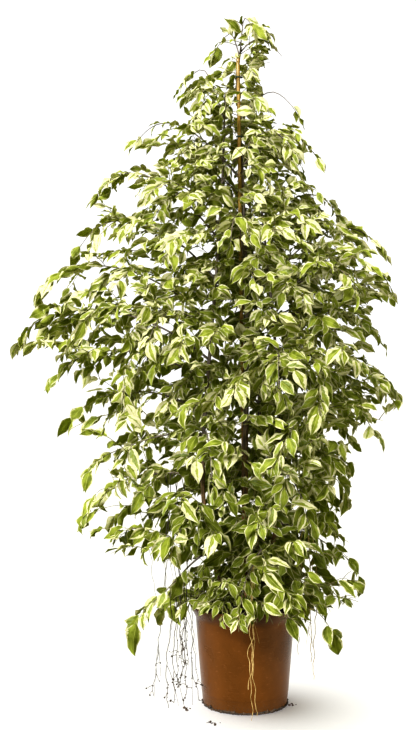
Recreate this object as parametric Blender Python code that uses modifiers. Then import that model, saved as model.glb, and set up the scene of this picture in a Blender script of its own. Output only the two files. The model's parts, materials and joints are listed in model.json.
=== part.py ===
"""Weeping fig with cream-edged leaves, standing in its pot.

Metres, +Z up. The origin is the middle of the pot's base, -Y is the front and +X is the
plant's right-hand side as seen from there. The pot holds the soil, in which the cane and
four woody stems stand in plain holes. Each branch sits on its stem and is one solid, with
its ribs, leaves and, low down, its hanging roots.
"""

import math
import random

import bmesh
import bpy
import numpy as np
from mathutils import Vector
from mathutils.bvhtree import BVHTree

# Kept between pieces that touch
GAP = 0.0003

# Pot, turned: outer radius and height from the lip down
POT_OUTSIDE = (
    (0.1500, 0.2700),
    (0.1490, 0.2630),
    (0.1385, 0.2440),
    (0.1345, 0.2330),
    (0.1185, 0.0350),
    (0.1150, 0.0050),
    (0.1105, 0.0000),
)
POT_WALL = 0.0024
POT_FLOOR = 0.0040
POT_SIDES = 24
DRAIN_HOLES = 4
DRAIN_CIRCLE = 0.075
DRAIN_RADIUS = 0.007

# Soil
SOIL_LEVEL = 0.243
SOIL_MOUND = 0.010
SOIL_RINGS = 3
SOIL_LUMP = 0.003

# Cane, straight, leaning a little to the left
CANE_FOOT = (0.004, -0.004, 0.060)
CANE_TOP = (-0.019, -0.004, 1.762)
CANE_RADIUS = 0.0055
CANE_TAPER = 0.0008
CANE_SIDES = 8
CANE_NODES = 4
CANE_NODE_SWELL = 0.0008
CANE_NODE_LENGTH = 0.006

# Ties round the cane and the centre stem
TIE_HEIGHTS = (1.706, 1.544)
TIE_THICKNESS = 0.0012
TIE_STEPS = 10
TIE_TAIL_REACH = (0.030, -0.004, -0.007)
TIE_TAIL_RADII = (0.0011, 0.0013, 0.0010)

# Stems: x, y, z and radius from the foot up
STEM_LEFT = (
    (-0.036, -0.020, 0.080, 0.0068),
    (-0.046, -0.024, 0.250, 0.0066),
    (-0.086, -0.030, 0.400, 0.0062),
    (-0.115, -0.030, 0.580, 0.0058),
    (-0.108, -0.020, 0.800, 0.0052),
    (-0.088, -0.012, 1.050, 0.0044),
    (-0.066, -0.012, 1.350, 0.0034),
    (-0.056, -0.014, 1.600, 0.0024),
)
STEM_RIGHT = (
    (-0.026, -0.052, 0.080, 0.0066),
    (-0.020, -0.054, 0.250, 0.0064),
    (0.012, -0.054, 0.318, 0.0062),
    (0.056, -0.046, 0.385, 0.0060),
    (0.088, -0.028, 0.520, 0.0056),
    (0.098, 0.000, 0.760, 0.0050),
    (0.076, 0.018, 1.060, 0.0040),
    (0.046, 0.028, 1.360, 0.0028),
)
STEM_BACK = (
    (0.016, 0.050, 0.080, 0.0066),
    (0.022, 0.058, 0.250, 0.0064),
    (0.040, 0.086, 0.500, 0.0058),
    (0.044, 0.096, 0.800, 0.0050),
    (0.030, 0.078, 1.100, 0.0040),
    (0.014, 0.056, 1.400, 0.0028),
)
# The centre stem winds half a turn round the cane: height, degrees round it, radius
STEM_CENTRE_WIND = (
    (0.080, -80.0, 0.0095),
    (0.600, -85.0, 0.0085),
    (1.150, 0.0, 0.0062),
    (1.500, 60.0, 0.0044),
    (1.706, 110.0, 0.0032),
)
STEM_CENTRE_CLEARANCE = 0.0010
STEM_CENTRE_TOP = (-0.010, 0.004, 1.790, 0.0022)
STEM_RINGS = 11
STEM_SIDES = 6

# Crown: leaf tips that make the outline at the left and right, from the top down
LEFT_TIPS = (
    (-0.205, -0.020, 1.650),
    (-0.335, 0.070, 1.510),
    (-0.430, -0.070, 1.350),
    (-0.495, 0.060, 1.225),
    (-0.580, -0.080, 1.085),
    (-0.650, 0.010, 0.965),
    (-0.530, -0.130, 0.860),
    (-0.510, 0.110, 0.745),
    (-0.445, -0.100, 0.610),
    (-0.480, 0.050, 0.485),
    (-0.300, -0.110, 0.160),
)
RIGHT_TIPS = (
    (0.165, 0.030, 1.600),
    (0.225, -0.070, 1.455),
    (0.300, 0.080, 1.310),
    (0.400, -0.060, 1.200),
    (0.430, 0.060, 1.090),
    (0.385, -0.110, 0.960),
    (0.440, 0.020, 0.830),
    (0.330, 0.130, 0.690),
    (0.300, -0.110, 0.560),
    (0.345, 0.020, 0.330),
    (0.225, -0.135, 0.145),
)
TOP_TIPS = (
    (0.085, -0.030, 1.770),
    (-0.075, 0.045, 1.800),
    (-0.005, -0.055, 1.836),
)
# Reach of the front and the back by height
DEPTH_HEIGHTS = (0.25, 0.45, 0.70, 1.00, 1.20, 1.40, 1.60, 1.80)
DEPTH_REACHES = (0.27, 0.34, 0.41, 0.46, 0.41, 0.31, 0.19, 0.06)
FRONT_TIPS = 12
BACK_TIPS = 11
FACE_LOWEST = 0.27
FACE_HIGHEST = 1.62
FACE_SPREAD = math.radians(126)
GOLDEN_RATIO = 0.6180339887

# Limbs, the woody part of a branch
LIMB_BEND = 0.30
LIMB_ARCHES = (0.16, 0.26)
LIMB_RADIUS = 0.0036
LIMB_TIP_RADIUS = 0.0018
LIMB_RINGS = 4
LIMB_TUBE = 0.60
LIMB_CLEARANCE = 0.013
LIMB_TRIES = 24
LOWEST_ROOT = 0.285
ROOT_SPACING = 0.012
STEM_CHANCE = 0.11
# Rise of a limb from its root to its end, as a share of its reach, by the height of its tip
LIFT_HEIGHTS = (0.15, 0.50, 1.10, 1.70)
LIFTS = (-0.45, -0.10, 0.28, 0.75)
STEP = 0.005
# From a leaf tip back to the end of its limb: inward and up, in the crown and beside the pot
TIP_BACK = (0.085, 0.075)
LOW_TIP_BACK = (0.060, 0.135)

# Ribs, the end and side shoots that carry the leaves
END_SHOOT = 0.060
END_DROOP = 0.45
SHOOT_LENGTHS = (0.10, 0.15)
SHOOT_DROOPS = (0.50, 0.80)
LONG_LIMB = 0.36
SIDE_FIRST = 0.26
SIDE_SPAN = 0.36
SHOOT_TRIES = 14
RIB_HALF_WIDTH = 0.0013
RIB_START_HALF_WIDTH = 0.0004
RIB_THICKNESS = 0.0009
RIB_CLEARANCE = 0.009

# Leaves: length low in the crown and at its top
LEAF_LONG = 0.088
LEAF_SHORT = 0.058
LEAF_WIDTH = 0.48
# Its shoulder and waist: share of its length, of its half width, and how far the edge folds up
LEAF_SHOULDER = (0.34, 1.00, 0.30)
LEAF_WAIST = (0.72, 0.66, 0.18)
LEAF_PITCH = 0.057
LEAF_ROOT = 0.0026
FIRST_LEAF = 0.030
LAST_LEAF = 0.018
LEAF_CLEARANCE = 0.0014
LEAF_TRIES = 9
MOST_TURN = math.radians(55)

# Hanging roots: which tip's limb bears them, how far from the pot's axis, and their lowest height
HANGING_ROOTS = (
    (10, 0.170, 0.012),
    (10, 0.184, 0.070),
    (10, 0.198, 0.020),
    (10, 0.214, 0.008),
    (25, 0.170, 0.016),
    (25, 0.186, 0.090),
    (20, 0.172, 0.110),
    (20, 0.196, 0.060),
)
ROOT_RADIUS = 0.0008
ROOT_BENDS = 4
ROOT_SWAY = 0.006

# Seeds: of the limbs and the soil, and what is added for the roots, the shoots and the leaves
SEED = 7
ROOT_SEED = 300
SHOOT_SEED = 500
LEAF_SEED = 1000


def clear_scene():
    for thing in list(bpy.data.objects):
        bpy.data.objects.remove(thing, do_unlink=True)


def new_collection(name):
    made = bpy.data.collections.new(name)
    bpy.context.scene.collection.children.link(made)
    return made


def finish(name, colour, roughness):
    """A plain Principled material."""
    made = bpy.data.materials.new(name)
    made.use_nodes = True
    shader = made.node_tree.nodes["Principled BSDF"]
    shader.inputs["Base Color"].default_value = (*colour, 1.0)
    shader.inputs["Roughness"].default_value = roughness
    return made


def put(name, mesh, collection, material=None):
    made = bpy.data.objects.new(name, mesh)
    collection.objects.link(made)
    if material:
        made.data.materials.append(material)
    return made


def apply_modifiers(thing):
    graph = bpy.context.evaluated_depsgraph_get()
    made = bpy.data.meshes.new_from_object(thing.evaluated_get(graph))
    old = thing.data
    thing.modifiers.clear()
    thing.data = made
    bpy.data.meshes.remove(old)


def boolean(thing, operation, other, solver="EXACT"):
    """Other is an object or a collection of objects."""
    made = thing.modifiers.new(operation.title(), "BOOLEAN")
    made.operation = operation
    made.solver = solver
    if isinstance(other, bpy.types.Collection):
        made.operand_type = "COLLECTION"
        made.collection = other
    else:
        made.object = other


def as_cutter(thing):
    thing.hide_render = True
    thing.display_type = "WIRE"


def smooth(thing, degrees=40):
    thing.data.shade_smooth()
    thing.data.set_sharp_from_angle(angle=math.radians(degrees))


def turned(name, profile, sides, collection, material=None):
    """A profile of radii and heights, down the outside first, turned round the Z axis."""
    mesh = bpy.data.meshes.new(name)
    points = [(radius, 0.0, height) for radius, height in profile]
    mesh.from_pydata(points, [(i, i + 1) for i in range(len(points) - 1)], [])
    made = put(name, mesh, collection, material)
    screw = made.modifiers.new("Turn", "SCREW")
    screw.steps = sides
    screw.render_steps = sides
    screw.use_merge_vertices = True
    screw.merge_threshold = 0.00005
    return made


def tube(name, points, radii, sides, collection, material=None):
    """A tapering tube through the points, with filled ends, as a mesh."""
    data = bpy.data.curves.new(name, "CURVE")
    data.dimensions = "3D"
    data.bevel_depth = 1.0
    data.bevel_resolution = (sides - 4) // 2
    data.use_fill_caps = True
    spline = data.splines.new("POLY")
    spline.points.add(len(points) - 1)
    for point, place, radius in zip(spline.points, points, radii):
        point.co = (*place, 1.0)
        point.radius = radius
    guide = bpy.data.objects.new(name, data)
    collection.objects.link(guide)
    graph = bpy.context.evaluated_depsgraph_get()
    mesh = bpy.data.meshes.new_from_object(guide.evaluated_get(graph))
    bpy.data.objects.remove(guide)
    bpy.data.curves.remove(data)
    weld(mesh)
    return put(name, mesh, collection, material)


def weld(mesh):
    shape = bmesh.new()
    shape.from_mesh(mesh)
    bmesh.ops.remove_doubles(shape, verts=shape.verts, dist=0.00001)
    bmesh.ops.recalc_face_normals(shape, faces=shape.faces)
    shape.to_mesh(mesh)
    shape.free()


def through(stations, count):
    """Evenly stepped points of a smooth curve through the stations."""
    knots = np.array(stations, float)
    ends = np.vstack([2 * knots[0] - knots[1], knots, 2 * knots[-1] - knots[-2]])
    found = []
    for step in np.linspace(0, len(knots) - 1, count):
        i = min(int(step), len(knots) - 2)
        u = step - i
        a, b, c, d = ends[i : i + 4]
        bend = 2 * a - 5 * b + 4 * c - d
        found.append(b + 0.5 * ((c - a) * u + bend * u**2 + (3 * b - a - 3 * c + d) * u**3))
    return np.array(found)


def unit(vector):
    return vector / max(float(np.linalg.norm(vector)), 1e-9)


def cane_at(height):
    foot = np.array(CANE_FOOT)
    top = np.array(CANE_TOP)
    return foot + (top - foot) * (height - foot[2]) / (top[2] - foot[2])


def centre_stations():
    """Stations of the centre stem, wound round the cane up to its top."""
    heights, degrees, radii = zip(*STEM_CENTRE_WIND)
    found = []
    for height in np.linspace(heights[0], heights[-1], STEM_RINGS - 1):
        turn = math.radians(np.interp(height, heights, degrees))
        radius = np.interp(height, heights, radii)
        away = CANE_RADIUS + radius + STEM_CENTRE_CLEARANCE
        place = cane_at(height) + away * np.array((math.cos(turn), math.sin(turn), 0.0))
        found.append((*place, radius))
    return (*found, STEM_CENTRE_TOP)


def stem_rings():
    """Ring centres and radii of each stem."""
    return {
        "stem_centre": np.array(centre_stations()),
        "stem_left": through(STEM_LEFT, STEM_RINGS),
        "stem_right": through(STEM_RIGHT, STEM_RINGS),
        "stem_back": through(STEM_BACK, STEM_RINGS - 2),
    }


def ring_at(rings, height):
    """Centre and radius of a stem at a height."""
    return np.array([np.interp(height, rings[:, 2], rings[:, i]) for i in range(4)])


def depth_reach(height):
    return float(np.interp(height, DEPTH_HEIGHTS, DEPTH_REACHES))


def face_tips(count, middle, shift):
    """Leaf tips over the front or the back, a golden step round for each step up."""
    found = []
    for i in range(count):
        height = FACE_LOWEST + (FACE_HIGHEST - FACE_LOWEST) * ((i + shift) / count) ** 1.1
        turn = middle + FACE_SPREAD * (math.modf(i * GOLDEN_RATIO + shift)[0] - 0.5)
        reach = depth_reach(height)
        found.append((reach * math.cos(turn), reach * math.sin(turn), height))
    return found


def all_tips():
    front = face_tips(FRONT_TIPS, math.radians(-90), 0.5)
    back = face_tips(BACK_TIPS, math.radians(90), 0.3)
    return [*LEFT_TIPS, *RIGHT_TIPS, *TOP_TIPS, *front, *back]


def limb_curve(root, tip, arch):
    """Evenly stepped points of a limb that rises from its root, arches and droops."""
    flat = np.array((tip[0] - root[0], tip[1] - root[1], 0.0))
    reach = float(np.linalg.norm(flat))
    up = np.array((0.0, 0.0, 1.0))
    first = root + flat * LIMB_BEND + up * (LIMB_BEND * (tip[2] - root[2]) + arch * reach)
    second = tip - flat * LIMB_BEND + up * 0.75 * arch * reach
    found = []
    for t in np.linspace(0, 1, 81):
        s = 1 - t
        found.append(s**3 * root + 3 * s * s * t * first + 3 * s * t * t * second + t**3 * tip)
    return np.array(found)


def along(points, distance):
    """Point and direction at a distance along a line of points."""
    steps = np.linalg.norm(np.diff(points, axis=0), axis=1)
    walked = np.concatenate([[0.0], np.cumsum(steps)])
    place = np.array([np.interp(distance, walked, points[:, i]) for i in range(3)])
    i = min(int(np.searchsorted(walked, distance, side="right")) - 1, len(points) - 2)
    return place, unit(points[max(i, 0) + 1] - points[max(i, 0)])


def length_of(points):
    return float(np.linalg.norm(np.diff(points, axis=0), axis=1).sum())


def sampled(points):
    count = max(int(length_of(points) / STEP), 2)
    return np.array([along(points, d)[0] for d in np.linspace(0, length_of(points), count)])


def nearest(points, others):
    away = points[:, None, :] - others[None, :, :]
    return float(np.sqrt((away**2).sum(axis=2).min()))


def rib_curve(start, heading, length, droop):
    """Evenly stepped points of a shoot that leaves along its heading and bends down."""
    steps = np.linspace(0, 1, 25)[:, None]
    up = np.array((0.0, 0.0, 1.0))
    return start + length * (steps * heading - up * droop * steps**2)


def size_at(height):
    """Leaf length at a height in the crown."""
    share = np.clip((height - 0.30) / 1.20, 0.0, 1.0)
    return LEAF_LONG + (LEAF_SHORT - LEAF_LONG) * float(share)


def tip_shoot(limb):
    """Points of the shoot that droops beyond the end of a limb."""
    place, ahead = along(limb, length_of(limb))
    return rib_curve(place, ahead, END_SHOOT, END_DROOP)[1:]


def end_shoot(limb):
    """The outer part of a limb and the shoot beyond it."""
    whole = length_of(limb)
    inner = [along(limb, whole * share)[0] for share in np.linspace(LIMB_TUBE - 0.03, 1.0, 20)]
    return np.vstack([inner, tip_shoot(limb)])


def limb_for(tip, stems, roots, taken, limbs, rng):
    """The clearest of several limbs for a leaf tip: its stem, root, points and samples."""
    tip = np.array(tip)
    span = float(np.hypot(tip[0], tip[1]))
    out = np.array((tip[0], tip[1], 0.0)) / span
    back, up = LOW_TIP_BACK if tip[2] < POT_OUTSIDE[0][1] else TIP_BACK
    scale = min(1.0, 0.45 * span / back)
    end = tip + (np.array((0.0, 0.0, up)) - out * back) * scale
    lift = float(np.interp(tip[2], LIFT_HEIGHTS, LIFTS))
    best = None
    for attempt in range(LIMB_TRIES):
        shift = rng.uniform(-0.02, 0.03) * (1 + attempt / 6)
        height = end[2] - lift * (span - back * scale) + shift
        scores = {}
        for name, rings in stems.items():
            above = max(height - rings[-1, 2] + ROOT_SPACING, 0.0)
            place = ring_at(rings, max(height - above, LOWEST_ROOT))
            scores[name] = float(place[:2] @ out[:2]) - 2.0 * above + rng.uniform(0.0, STEM_CHANCE)
        name = max(scores, key=scores.get)
        height = max(min(height, stems[name][-1, 2] - ROOT_SPACING), LOWEST_ROOT)
        while any(abs(height - other) < ROOT_SPACING for other in roots[name]):
            height -= ROOT_SPACING / 4
        place = ring_at(stems[name], height)
        limb = limb_curve(place[:3], end, rng.uniform(*LIMB_ARCHES))
        body = sampled(np.vstack([limb, tip_shoot(limb)]))
        away = min(nearest(body[5:], taken), nearest(body[1:], limbs))
        if best is None or away > best[0]:
            best = (away, name, place, limb, body)
        if away > LIMB_CLEARANCE:
            break
    roots[best[1]].append(float(best[2][2]))
    return best[1:]


def side_shoots(limb, taken, rng, count):
    """Side shoots of a limb, left and right in turn, each clear of all that is there."""
    whole = length_of(limb)
    up = np.array((0.0, 0.0, 1.0))
    found = []
    side = rng.choice((-1, 1))
    for i in range(count):
        start, ahead = along(limb, whole * (SIDE_FIRST + SIDE_SPAN * (i + 0.5) / count))
        level = unit(np.array((ahead[0], ahead[1], 0.0)))
        across = np.array((-level[1], level[0], 0.0))
        for attempt in range(SHOOT_TRIES):
            turn = side * math.radians(rng.uniform(42, 78)) + rng.uniform(-0.12, 0.12) * attempt
            heading = level * math.cos(turn) + across * math.sin(turn)
            rise = rng.uniform(0.10, 0.45)
            length = rng.uniform(*SHOOT_LENGTHS) * (1 - 0.03 * attempt)
            rib = rib_curve(start, unit(heading + up * rise), length, rng.uniform(*SHOOT_DROOPS))
            body = sampled(rib)
            if nearest(body[3:], taken) > RIB_CLEARANCE:
                found.append(rib)
                taken = np.vstack([taken, body])
                break
        side = -side
    return found, taken


def pot_outline():
    """Points all over the pot's outside."""
    rings = sampled(np.array([(r, 0.0, z) for r, z in POT_OUTSIDE]))
    turns = np.linspace(0, math.tau, 200)[:, None]
    away = rings[:, 0]
    heights = np.broadcast_to(rings[:, 2], (len(turns), len(rings)))
    return np.stack([away * np.cos(turns), away * np.sin(turns), heights], axis=2).reshape(-1, 3)


def lay_out(stems):
    """Every branch of the crown: its stem, limb and ribs."""
    lines = [sampled(rings[:, :3]) for rings in stems.values()]
    lines.append(sampled(np.array((CANE_FOOT, CANE_TOP))))
    lines.append(pot_outline())
    taken = np.vstack(lines)
    roots = {name: [] for name in stems}
    limbs = np.full((1, 3), 9.0)
    branches = []
    for index, tip in enumerate(all_tips()):
        rng = random.Random(SEED + index)
        stem, place, limb, body = limb_for(tip, stems, roots, taken, limbs, rng)
        limbs = np.vstack([limbs, body[1:]])
        branches.append({"stem": stem, "root": place, "limb": limb})
    taken = np.vstack([taken, limbs])
    ends = [end_shoot(branch["limb"]) for branch in branches]
    for index, branch in enumerate(branches):
        rng = random.Random(SEED + SHOOT_SEED + index)
        count = 2 if length_of(branch["limb"]) > LONG_LIMB else 1
        shoots, taken = side_shoots(branch["limb"], taken, rng, count)
        branch["ribs"] = [ends[index], *shoots]
    return branches


class Space:
    """The surfaces that leaves keep clear of."""

    def __init__(self):
        self.trees = []
        self.owners = []
        self.lows = np.zeros((0, 3))
        self.highs = np.zeros((0, 3))

    def add(self, owner, points, faces):
        points = np.array(points, float)
        self.trees.append(BVHTree.FromPolygons([Vector(p) for p in points], faces))
        self.owners.append(owner)
        self.lows = np.vstack([self.lows, points.min(axis=0)])
        self.highs = np.vstack([self.highs, points.max(axis=0)])

    def add_object(self, owner, thing):
        graph = bpy.context.evaluated_depsgraph_get()
        mesh = bpy.data.meshes.new_from_object(thing.evaluated_get(graph))
        self.add(owner, [v.co[:] for v in mesh.vertices], [p.vertices[:] for p in mesh.polygons])
        bpy.data.meshes.remove(mesh)

    def is_clear(self, points, faces, own=None):
        """Whether a shape meets nothing but what its own rib is."""
        points = np.array(points, float)
        low = points.min(axis=0)
        high = points.max(axis=0)
        near = ((self.lows <= high) & (self.highs >= low)).all(axis=1).nonzero()[0]
        near = [i for i in near if self.owners[i] != own]
        if not near:
            return True
        tree = BVHTree.FromPolygons([Vector(p) for p in points], faces)
        return not any(tree.overlap(self.trees[i]) for i in near)


LEAF_FACES = ((0, 1, 6), (0, 6, 3), (0, 3, 2), (1, 5, 4), (1, 4, 6))


def leaf_outline(a, b, ahead, twist, length, sag):
    """Corners of a folded blade: a and b, its root's ends on the rib, then sides and drip tip."""
    wide = unit((a - b) - ahead * float((a - b) @ ahead))
    face = np.cross(ahead, wide)
    outward = unit(np.array((a[0], a[1], 0.0))) + np.array((0.0, 0.0, 0.6))
    turn = math.atan2(-float(outward @ wide), float(outward @ face))
    turn -= math.pi * round(turn / math.pi)
    twist += max(-MOST_TURN, min(MOST_TURN, turn))
    wide, face = (
        wide * math.cos(twist) + face * math.sin(twist),
        face * math.cos(twist) - wide * math.sin(twist),
    )
    half = length * LEAF_WIDTH / 2
    root = (a + b) / 2

    def at(share, across, lift):
        drop = sag * length * share**2
        return root + ahead * length * share + wide * half * across + face * (lift * half - drop)

    return [
        a,
        b,
        at(LEAF_SHOULDER[0], LEAF_SHOULDER[1], LEAF_SHOULDER[2]),
        at(LEAF_WAIST[0], LEAF_WAIST[1], LEAF_WAIST[2]),
        at(LEAF_WAIST[0], -LEAF_WAIST[1], LEAF_WAIST[2]),
        at(LEAF_SHOULDER[0], -LEAF_SHOULDER[1], LEAF_SHOULDER[2]),
        at(1.0, 0.0, 0.0),
    ]


def thickened(points, faces, half):
    """Both sides of a thin surface, moved out by half, to test it with room to spare."""
    points = np.array(points)
    normals = np.zeros_like(points)
    for face in faces:
        a, b, c = points[list(face)]
        normals[list(face)] += np.cross(b - a, c - a)
    normals /= np.maximum(np.linalg.norm(normals, axis=1), 1e-9)[:, None]
    middle = points.mean(axis=0)
    wider = middle + (points - middle) * 1.05
    both = np.vstack([wider + normals * half, wider - normals * half])
    count = len(points)
    faces = [tuple(f) for f in faces]
    edges = [(f[i], f[(i + 1) % 3]) for f in faces for i in range(3)]
    rim = [(i, j) for i, j in edges if (j, i) not in edges]
    sides = [(i, j, j + count, i + count) for i, j in rim]
    return both, faces + [tuple(i + count for i in f) for f in faces] + sides


def rib_frame(rib, distance):
    """Point, direction and level sideways direction on a rib."""
    place, ahead = along(rib, distance)
    across = unit(np.cross((0.0, 0.0, 1.0), ahead))
    return place, ahead, across


def leaf_distances(rib):
    """How far along a rib its leaves stand, before the one at its end."""
    size = size_at(float(rib[0][2]))
    pitch = LEAF_PITCH * (0.4 + 0.6 * size / LEAF_LONG)
    whole = length_of(rib)
    return list(np.arange(min(FIRST_LEAF, whole * 0.3), whole - LAST_LEAF, pitch))


def rib_chains(rib):
    """Left and right edges of a rib's strip, each a list of points, and its leaves' root edges."""
    whole = length_of(rib)
    chains = {1: [], -1: []}
    roots = []
    for side in chains:
        place, _, across = rib_frame(rib, 0.0)
        chains[side].append((0.0, place + across * side * RIB_START_HALF_WIDTH))
    for i, distance in enumerate(leaf_distances(rib)):
        side = (1, -1)[i % 2]
        for way, offset in ((side, -LEAF_ROOT), (-side, 0.0), (side, LEAF_ROOT)):
            place, _, across = rib_frame(rib, distance + offset)
            chains[way].append((distance + offset, place + across * way * RIB_HALF_WIDTH))
        roots.append((side, len(chains[side]) - 2, distance))
    for side in chains:
        place, _, across = rib_frame(rib, whole)
        chains[side].append((whole, place + across * side * RIB_HALF_WIDTH))
    return chains, roots


def leaf_on(space, own, a, b, side, frame, size, rng):
    """A leaf from the root edge a, b that meets nothing, or None."""
    ahead, across = frame
    up = np.array((0.0, 0.0, 1.0))
    for attempt in range(LEAF_TRIES):
        hang = rng.uniform(0.15, 0.95)
        forward = rng.uniform(0.25, 0.75) if side else 1.0
        heading = unit(across * side * 0.8 + ahead * forward - up * hang)
        length = size * rng.uniform(0.86, 1.08) * (1 - 0.025 * attempt)
        twist = rng.uniform(-0.7, 0.7)
        points = leaf_outline(a, b, heading, twist, length, rng.uniform(0.06, 0.16))
        if space.is_clear(*thickened(points, LEAF_FACES, LEAF_CLEARANCE), own):
            return points
    return None


def leafy_rib(space, own, rib, anchor, rng):
    """Open surface of a rib and its leaves: a strip with a blade on alternate edges and one at its end."""
    size = size_at(float(rib[0][2]))
    chains, roots = rib_chains(rib)
    shift = anchor - rib[0]
    for side in chains:
        distance, edge = chains[side][0]
        chains[side][0] = (distance, edge + shift)
    points = []
    index = {}
    for side in chains:
        for i, (_, edge) in enumerate(chains[side]):
            index[side, i] = len(points)
            points.append(edge)
    faces = []
    left = right = 0
    while left < len(chains[1]) - 1 or right < len(chains[-1]) - 1:
        next_left = chains[1][left + 1][0] if left < len(chains[1]) - 1 else math.inf
        next_right = chains[-1][right + 1][0] if right < len(chains[-1]) - 1 else math.inf
        if next_left <= next_right:
            faces.append((index[1, left], index[-1, right], index[1, left + 1]))
            left += 1
        else:
            faces.append((index[1, left], index[-1, right], index[-1, right + 1]))
            right += 1
    edges = [(side, i, i + 1, distance) for side, i, distance in roots]
    edges.append((0, left, right, length_of(rib)))
    for side, i, j, distance in edges:
        first = index[1, i] if side >= 0 else index[-1, j]
        second = index[-1, j] if side == 0 else index[side, j if side > 0 else i]
        _, ahead, across = rib_frame(rib, distance)
        blade = leaf_on(space, own, points[first], points[second], side, (ahead, across), size, rng)
        if blade is None:
            continue
        space.add(own, blade, LEAF_FACES)
        numbers = [first, second, *range(len(points), len(points) + 5)]
        points.extend(blade[2:])
        faces.extend(tuple(numbers[k] for k in face) for face in LEAF_FACES)
    return points, faces


def pot_profile():
    inside = [(r - POT_WALL, max(z, POT_FLOOR)) for r, z in reversed(POT_OUTSIDE[2:-1])]
    lip = [(POT_OUTSIDE[0][0] - POT_WALL, POT_OUTSIDE[0][1] - 0.0006)]
    return [*POT_OUTSIDE, (0.0, 0.0)], [(0.0, POT_FLOOR), *inside, *lip]


def make_pot(parts, cutters):
    outside, inside = pot_profile()
    pot = turned("pot", outside + inside + [outside[0]], POT_SIDES, parts)
    pot.data.materials.append(finish("pot", (0.29, 0.10, 0.035), 0.35))
    for i in range(DRAIN_HOLES):
        turn = math.tau * (i + 0.5) / DRAIN_HOLES
        place = (DRAIN_CIRCLE * math.cos(turn), DRAIN_CIRCLE * math.sin(turn), 0.0)
        bpy.ops.mesh.primitive_cylinder_add(vertices=8, radius=DRAIN_RADIUS, depth=0.02, location=place)
        hole = bpy.context.object
        hole.name = f"drain_cutter_{i + 1}"
        for holder in hole.users_collection:
            holder.objects.unlink(hole)
        cutters.objects.link(hole)
        as_cutter(hole)
        boolean(pot, "DIFFERENCE", hole)
    return pot


def make_soil(parts, hole_cutters):
    """Potting mix up to just under the lip, in lumps, with a plain hole for each stem and the cane."""
    _, inside = pot_profile()
    wall = [(r - GAP, z) for r, z in inside[1:] if z < SOIL_LEVEL]
    top_radius = float(np.interp(SOIL_LEVEL, [z for _, z in inside], [r for r, _ in inside])) - GAP
    rings = [(top_radius, SOIL_LEVEL)]
    for i in range(1, SOIL_RINGS):
        share = 1 - i / SOIL_RINGS
        rings.append((top_radius * share, SOIL_LEVEL + SOIL_MOUND * (1 - share**2)))
    rings.reverse()
    side = [(r, z if z > POT_FLOOR else POT_FLOOR + GAP) for r, z in reversed(wall)]
    profile = [(0.0, SOIL_LEVEL + SOIL_MOUND), *rings, *side, (0.0, POT_FLOOR + GAP)]
    soil = turned("soil", profile, POT_SIDES, parts)
    apply_modifiers(soil)
    rng = random.Random(SEED)
    for point in soil.data.vertices:
        away = math.hypot(point.co.x, point.co.y)
        if point.co.z >= SOIL_LEVEL - 0.001 and away < top_radius * 0.95:
            point.co.z += rng.uniform(-SOIL_LUMP, SOIL_LUMP)
    soil.data.materials.append(finish("soil", (0.035, 0.022, 0.014), 0.95))
    for cutter in hole_cutters:
        boolean(soil, "DIFFERENCE", cutter)
    return soil


def make_cane(parts, material):
    """Bamboo: a straight cane with a swelling at each node."""
    length = (Vector(CANE_TOP) - Vector(CANE_FOOT)).length
    profile = []
    for i in range(CANE_NODES):
        height = length * (1 - (i + 0.6) / CANE_NODES)
        for offset, swell in ((1, 0.0), (0, 1.0), (-1, 0.0)):
            radius = CANE_RADIUS - CANE_TAPER * height / length + CANE_NODE_SWELL * swell
            profile.append((radius, height + offset * CANE_NODE_LENGTH))
    profile = [(0.0, length), (CANE_RADIUS - CANE_TAPER, length), *profile]
    profile += [(CANE_RADIUS, 0.0), (0.0, 0.0)]
    cane = turned("bamboo_cane", profile, CANE_SIDES, parts, material)
    lean = Vector(CANE_TOP) - Vector(CANE_FOOT)
    cane.location = CANE_FOOT
    cane.rotation_euler = lean.to_track_quat("Z", "X").to_euler()
    return cane


def make_tie(number, height, stems, parts, joined, material):
    """A loop round the cane and the centre stem, with a tail to the right."""
    cane = cane_at(height)
    ring = ring_at(stems["stem_centre"], height)
    circles = ((cane, CANE_RADIUS), (ring[:3], ring[3]))
    reach = TIE_THICKNESS + GAP
    outline = []
    for i in range(TIE_STEPS):
        turn = math.tau * i / TIE_STEPS
        way = np.array((math.cos(turn), math.sin(turn), 0.0))
        centre, radius = max(circles, key=lambda c: float(c[0] @ way) + c[1])
        outline.append(centre + way * (radius + reach) / math.cos(math.pi / TIE_STEPS))
    data = bpy.data.curves.new("tie", "CURVE")
    data.dimensions = "3D"
    data.bevel_depth = TIE_THICKNESS
    data.bevel_resolution = 0
    spline = data.splines.new("POLY")
    spline.points.add(len(outline) - 1)
    for point, place in zip(spline.points, outline):
        point.co = (place[0], place[1], height, 1.0)
    spline.use_cyclic_u = True
    guide = bpy.data.objects.new("tie_guide", data)
    parts.objects.link(guide)
    graph = bpy.context.evaluated_depsgraph_get()
    mesh = bpy.data.meshes.new_from_object(guide.evaluated_get(graph))
    bpy.data.objects.remove(guide)
    weld(mesh)
    tie = put(f"tie_{number}", mesh, parts, material)
    right = max(outline, key=lambda p: p[0])
    start = np.array((right[0], right[1], height))
    reach = np.array(TIE_TAIL_REACH)
    tail = tube("tie_tail", (start, start + reach / 2, start + reach), TIE_TAIL_RADII, 4, joined)
    boolean(tie, "UNION", joined, "MANIFOLD")
    apply_modifiers(tie)
    bpy.data.objects.remove(tail)
    return tie


def grown(rings):
    """The same stem with the gap round it, for cutting seats and holes."""
    wider = rings.copy()
    wider[:, 3] += GAP / math.cos(math.pi / STEM_SIDES) + 0.00003
    wider[0, 2] -= GAP
    wider[-1, :3] += unit(wider[-1, :3] - wider[-2, :3]) * 0.002
    return wider


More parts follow.
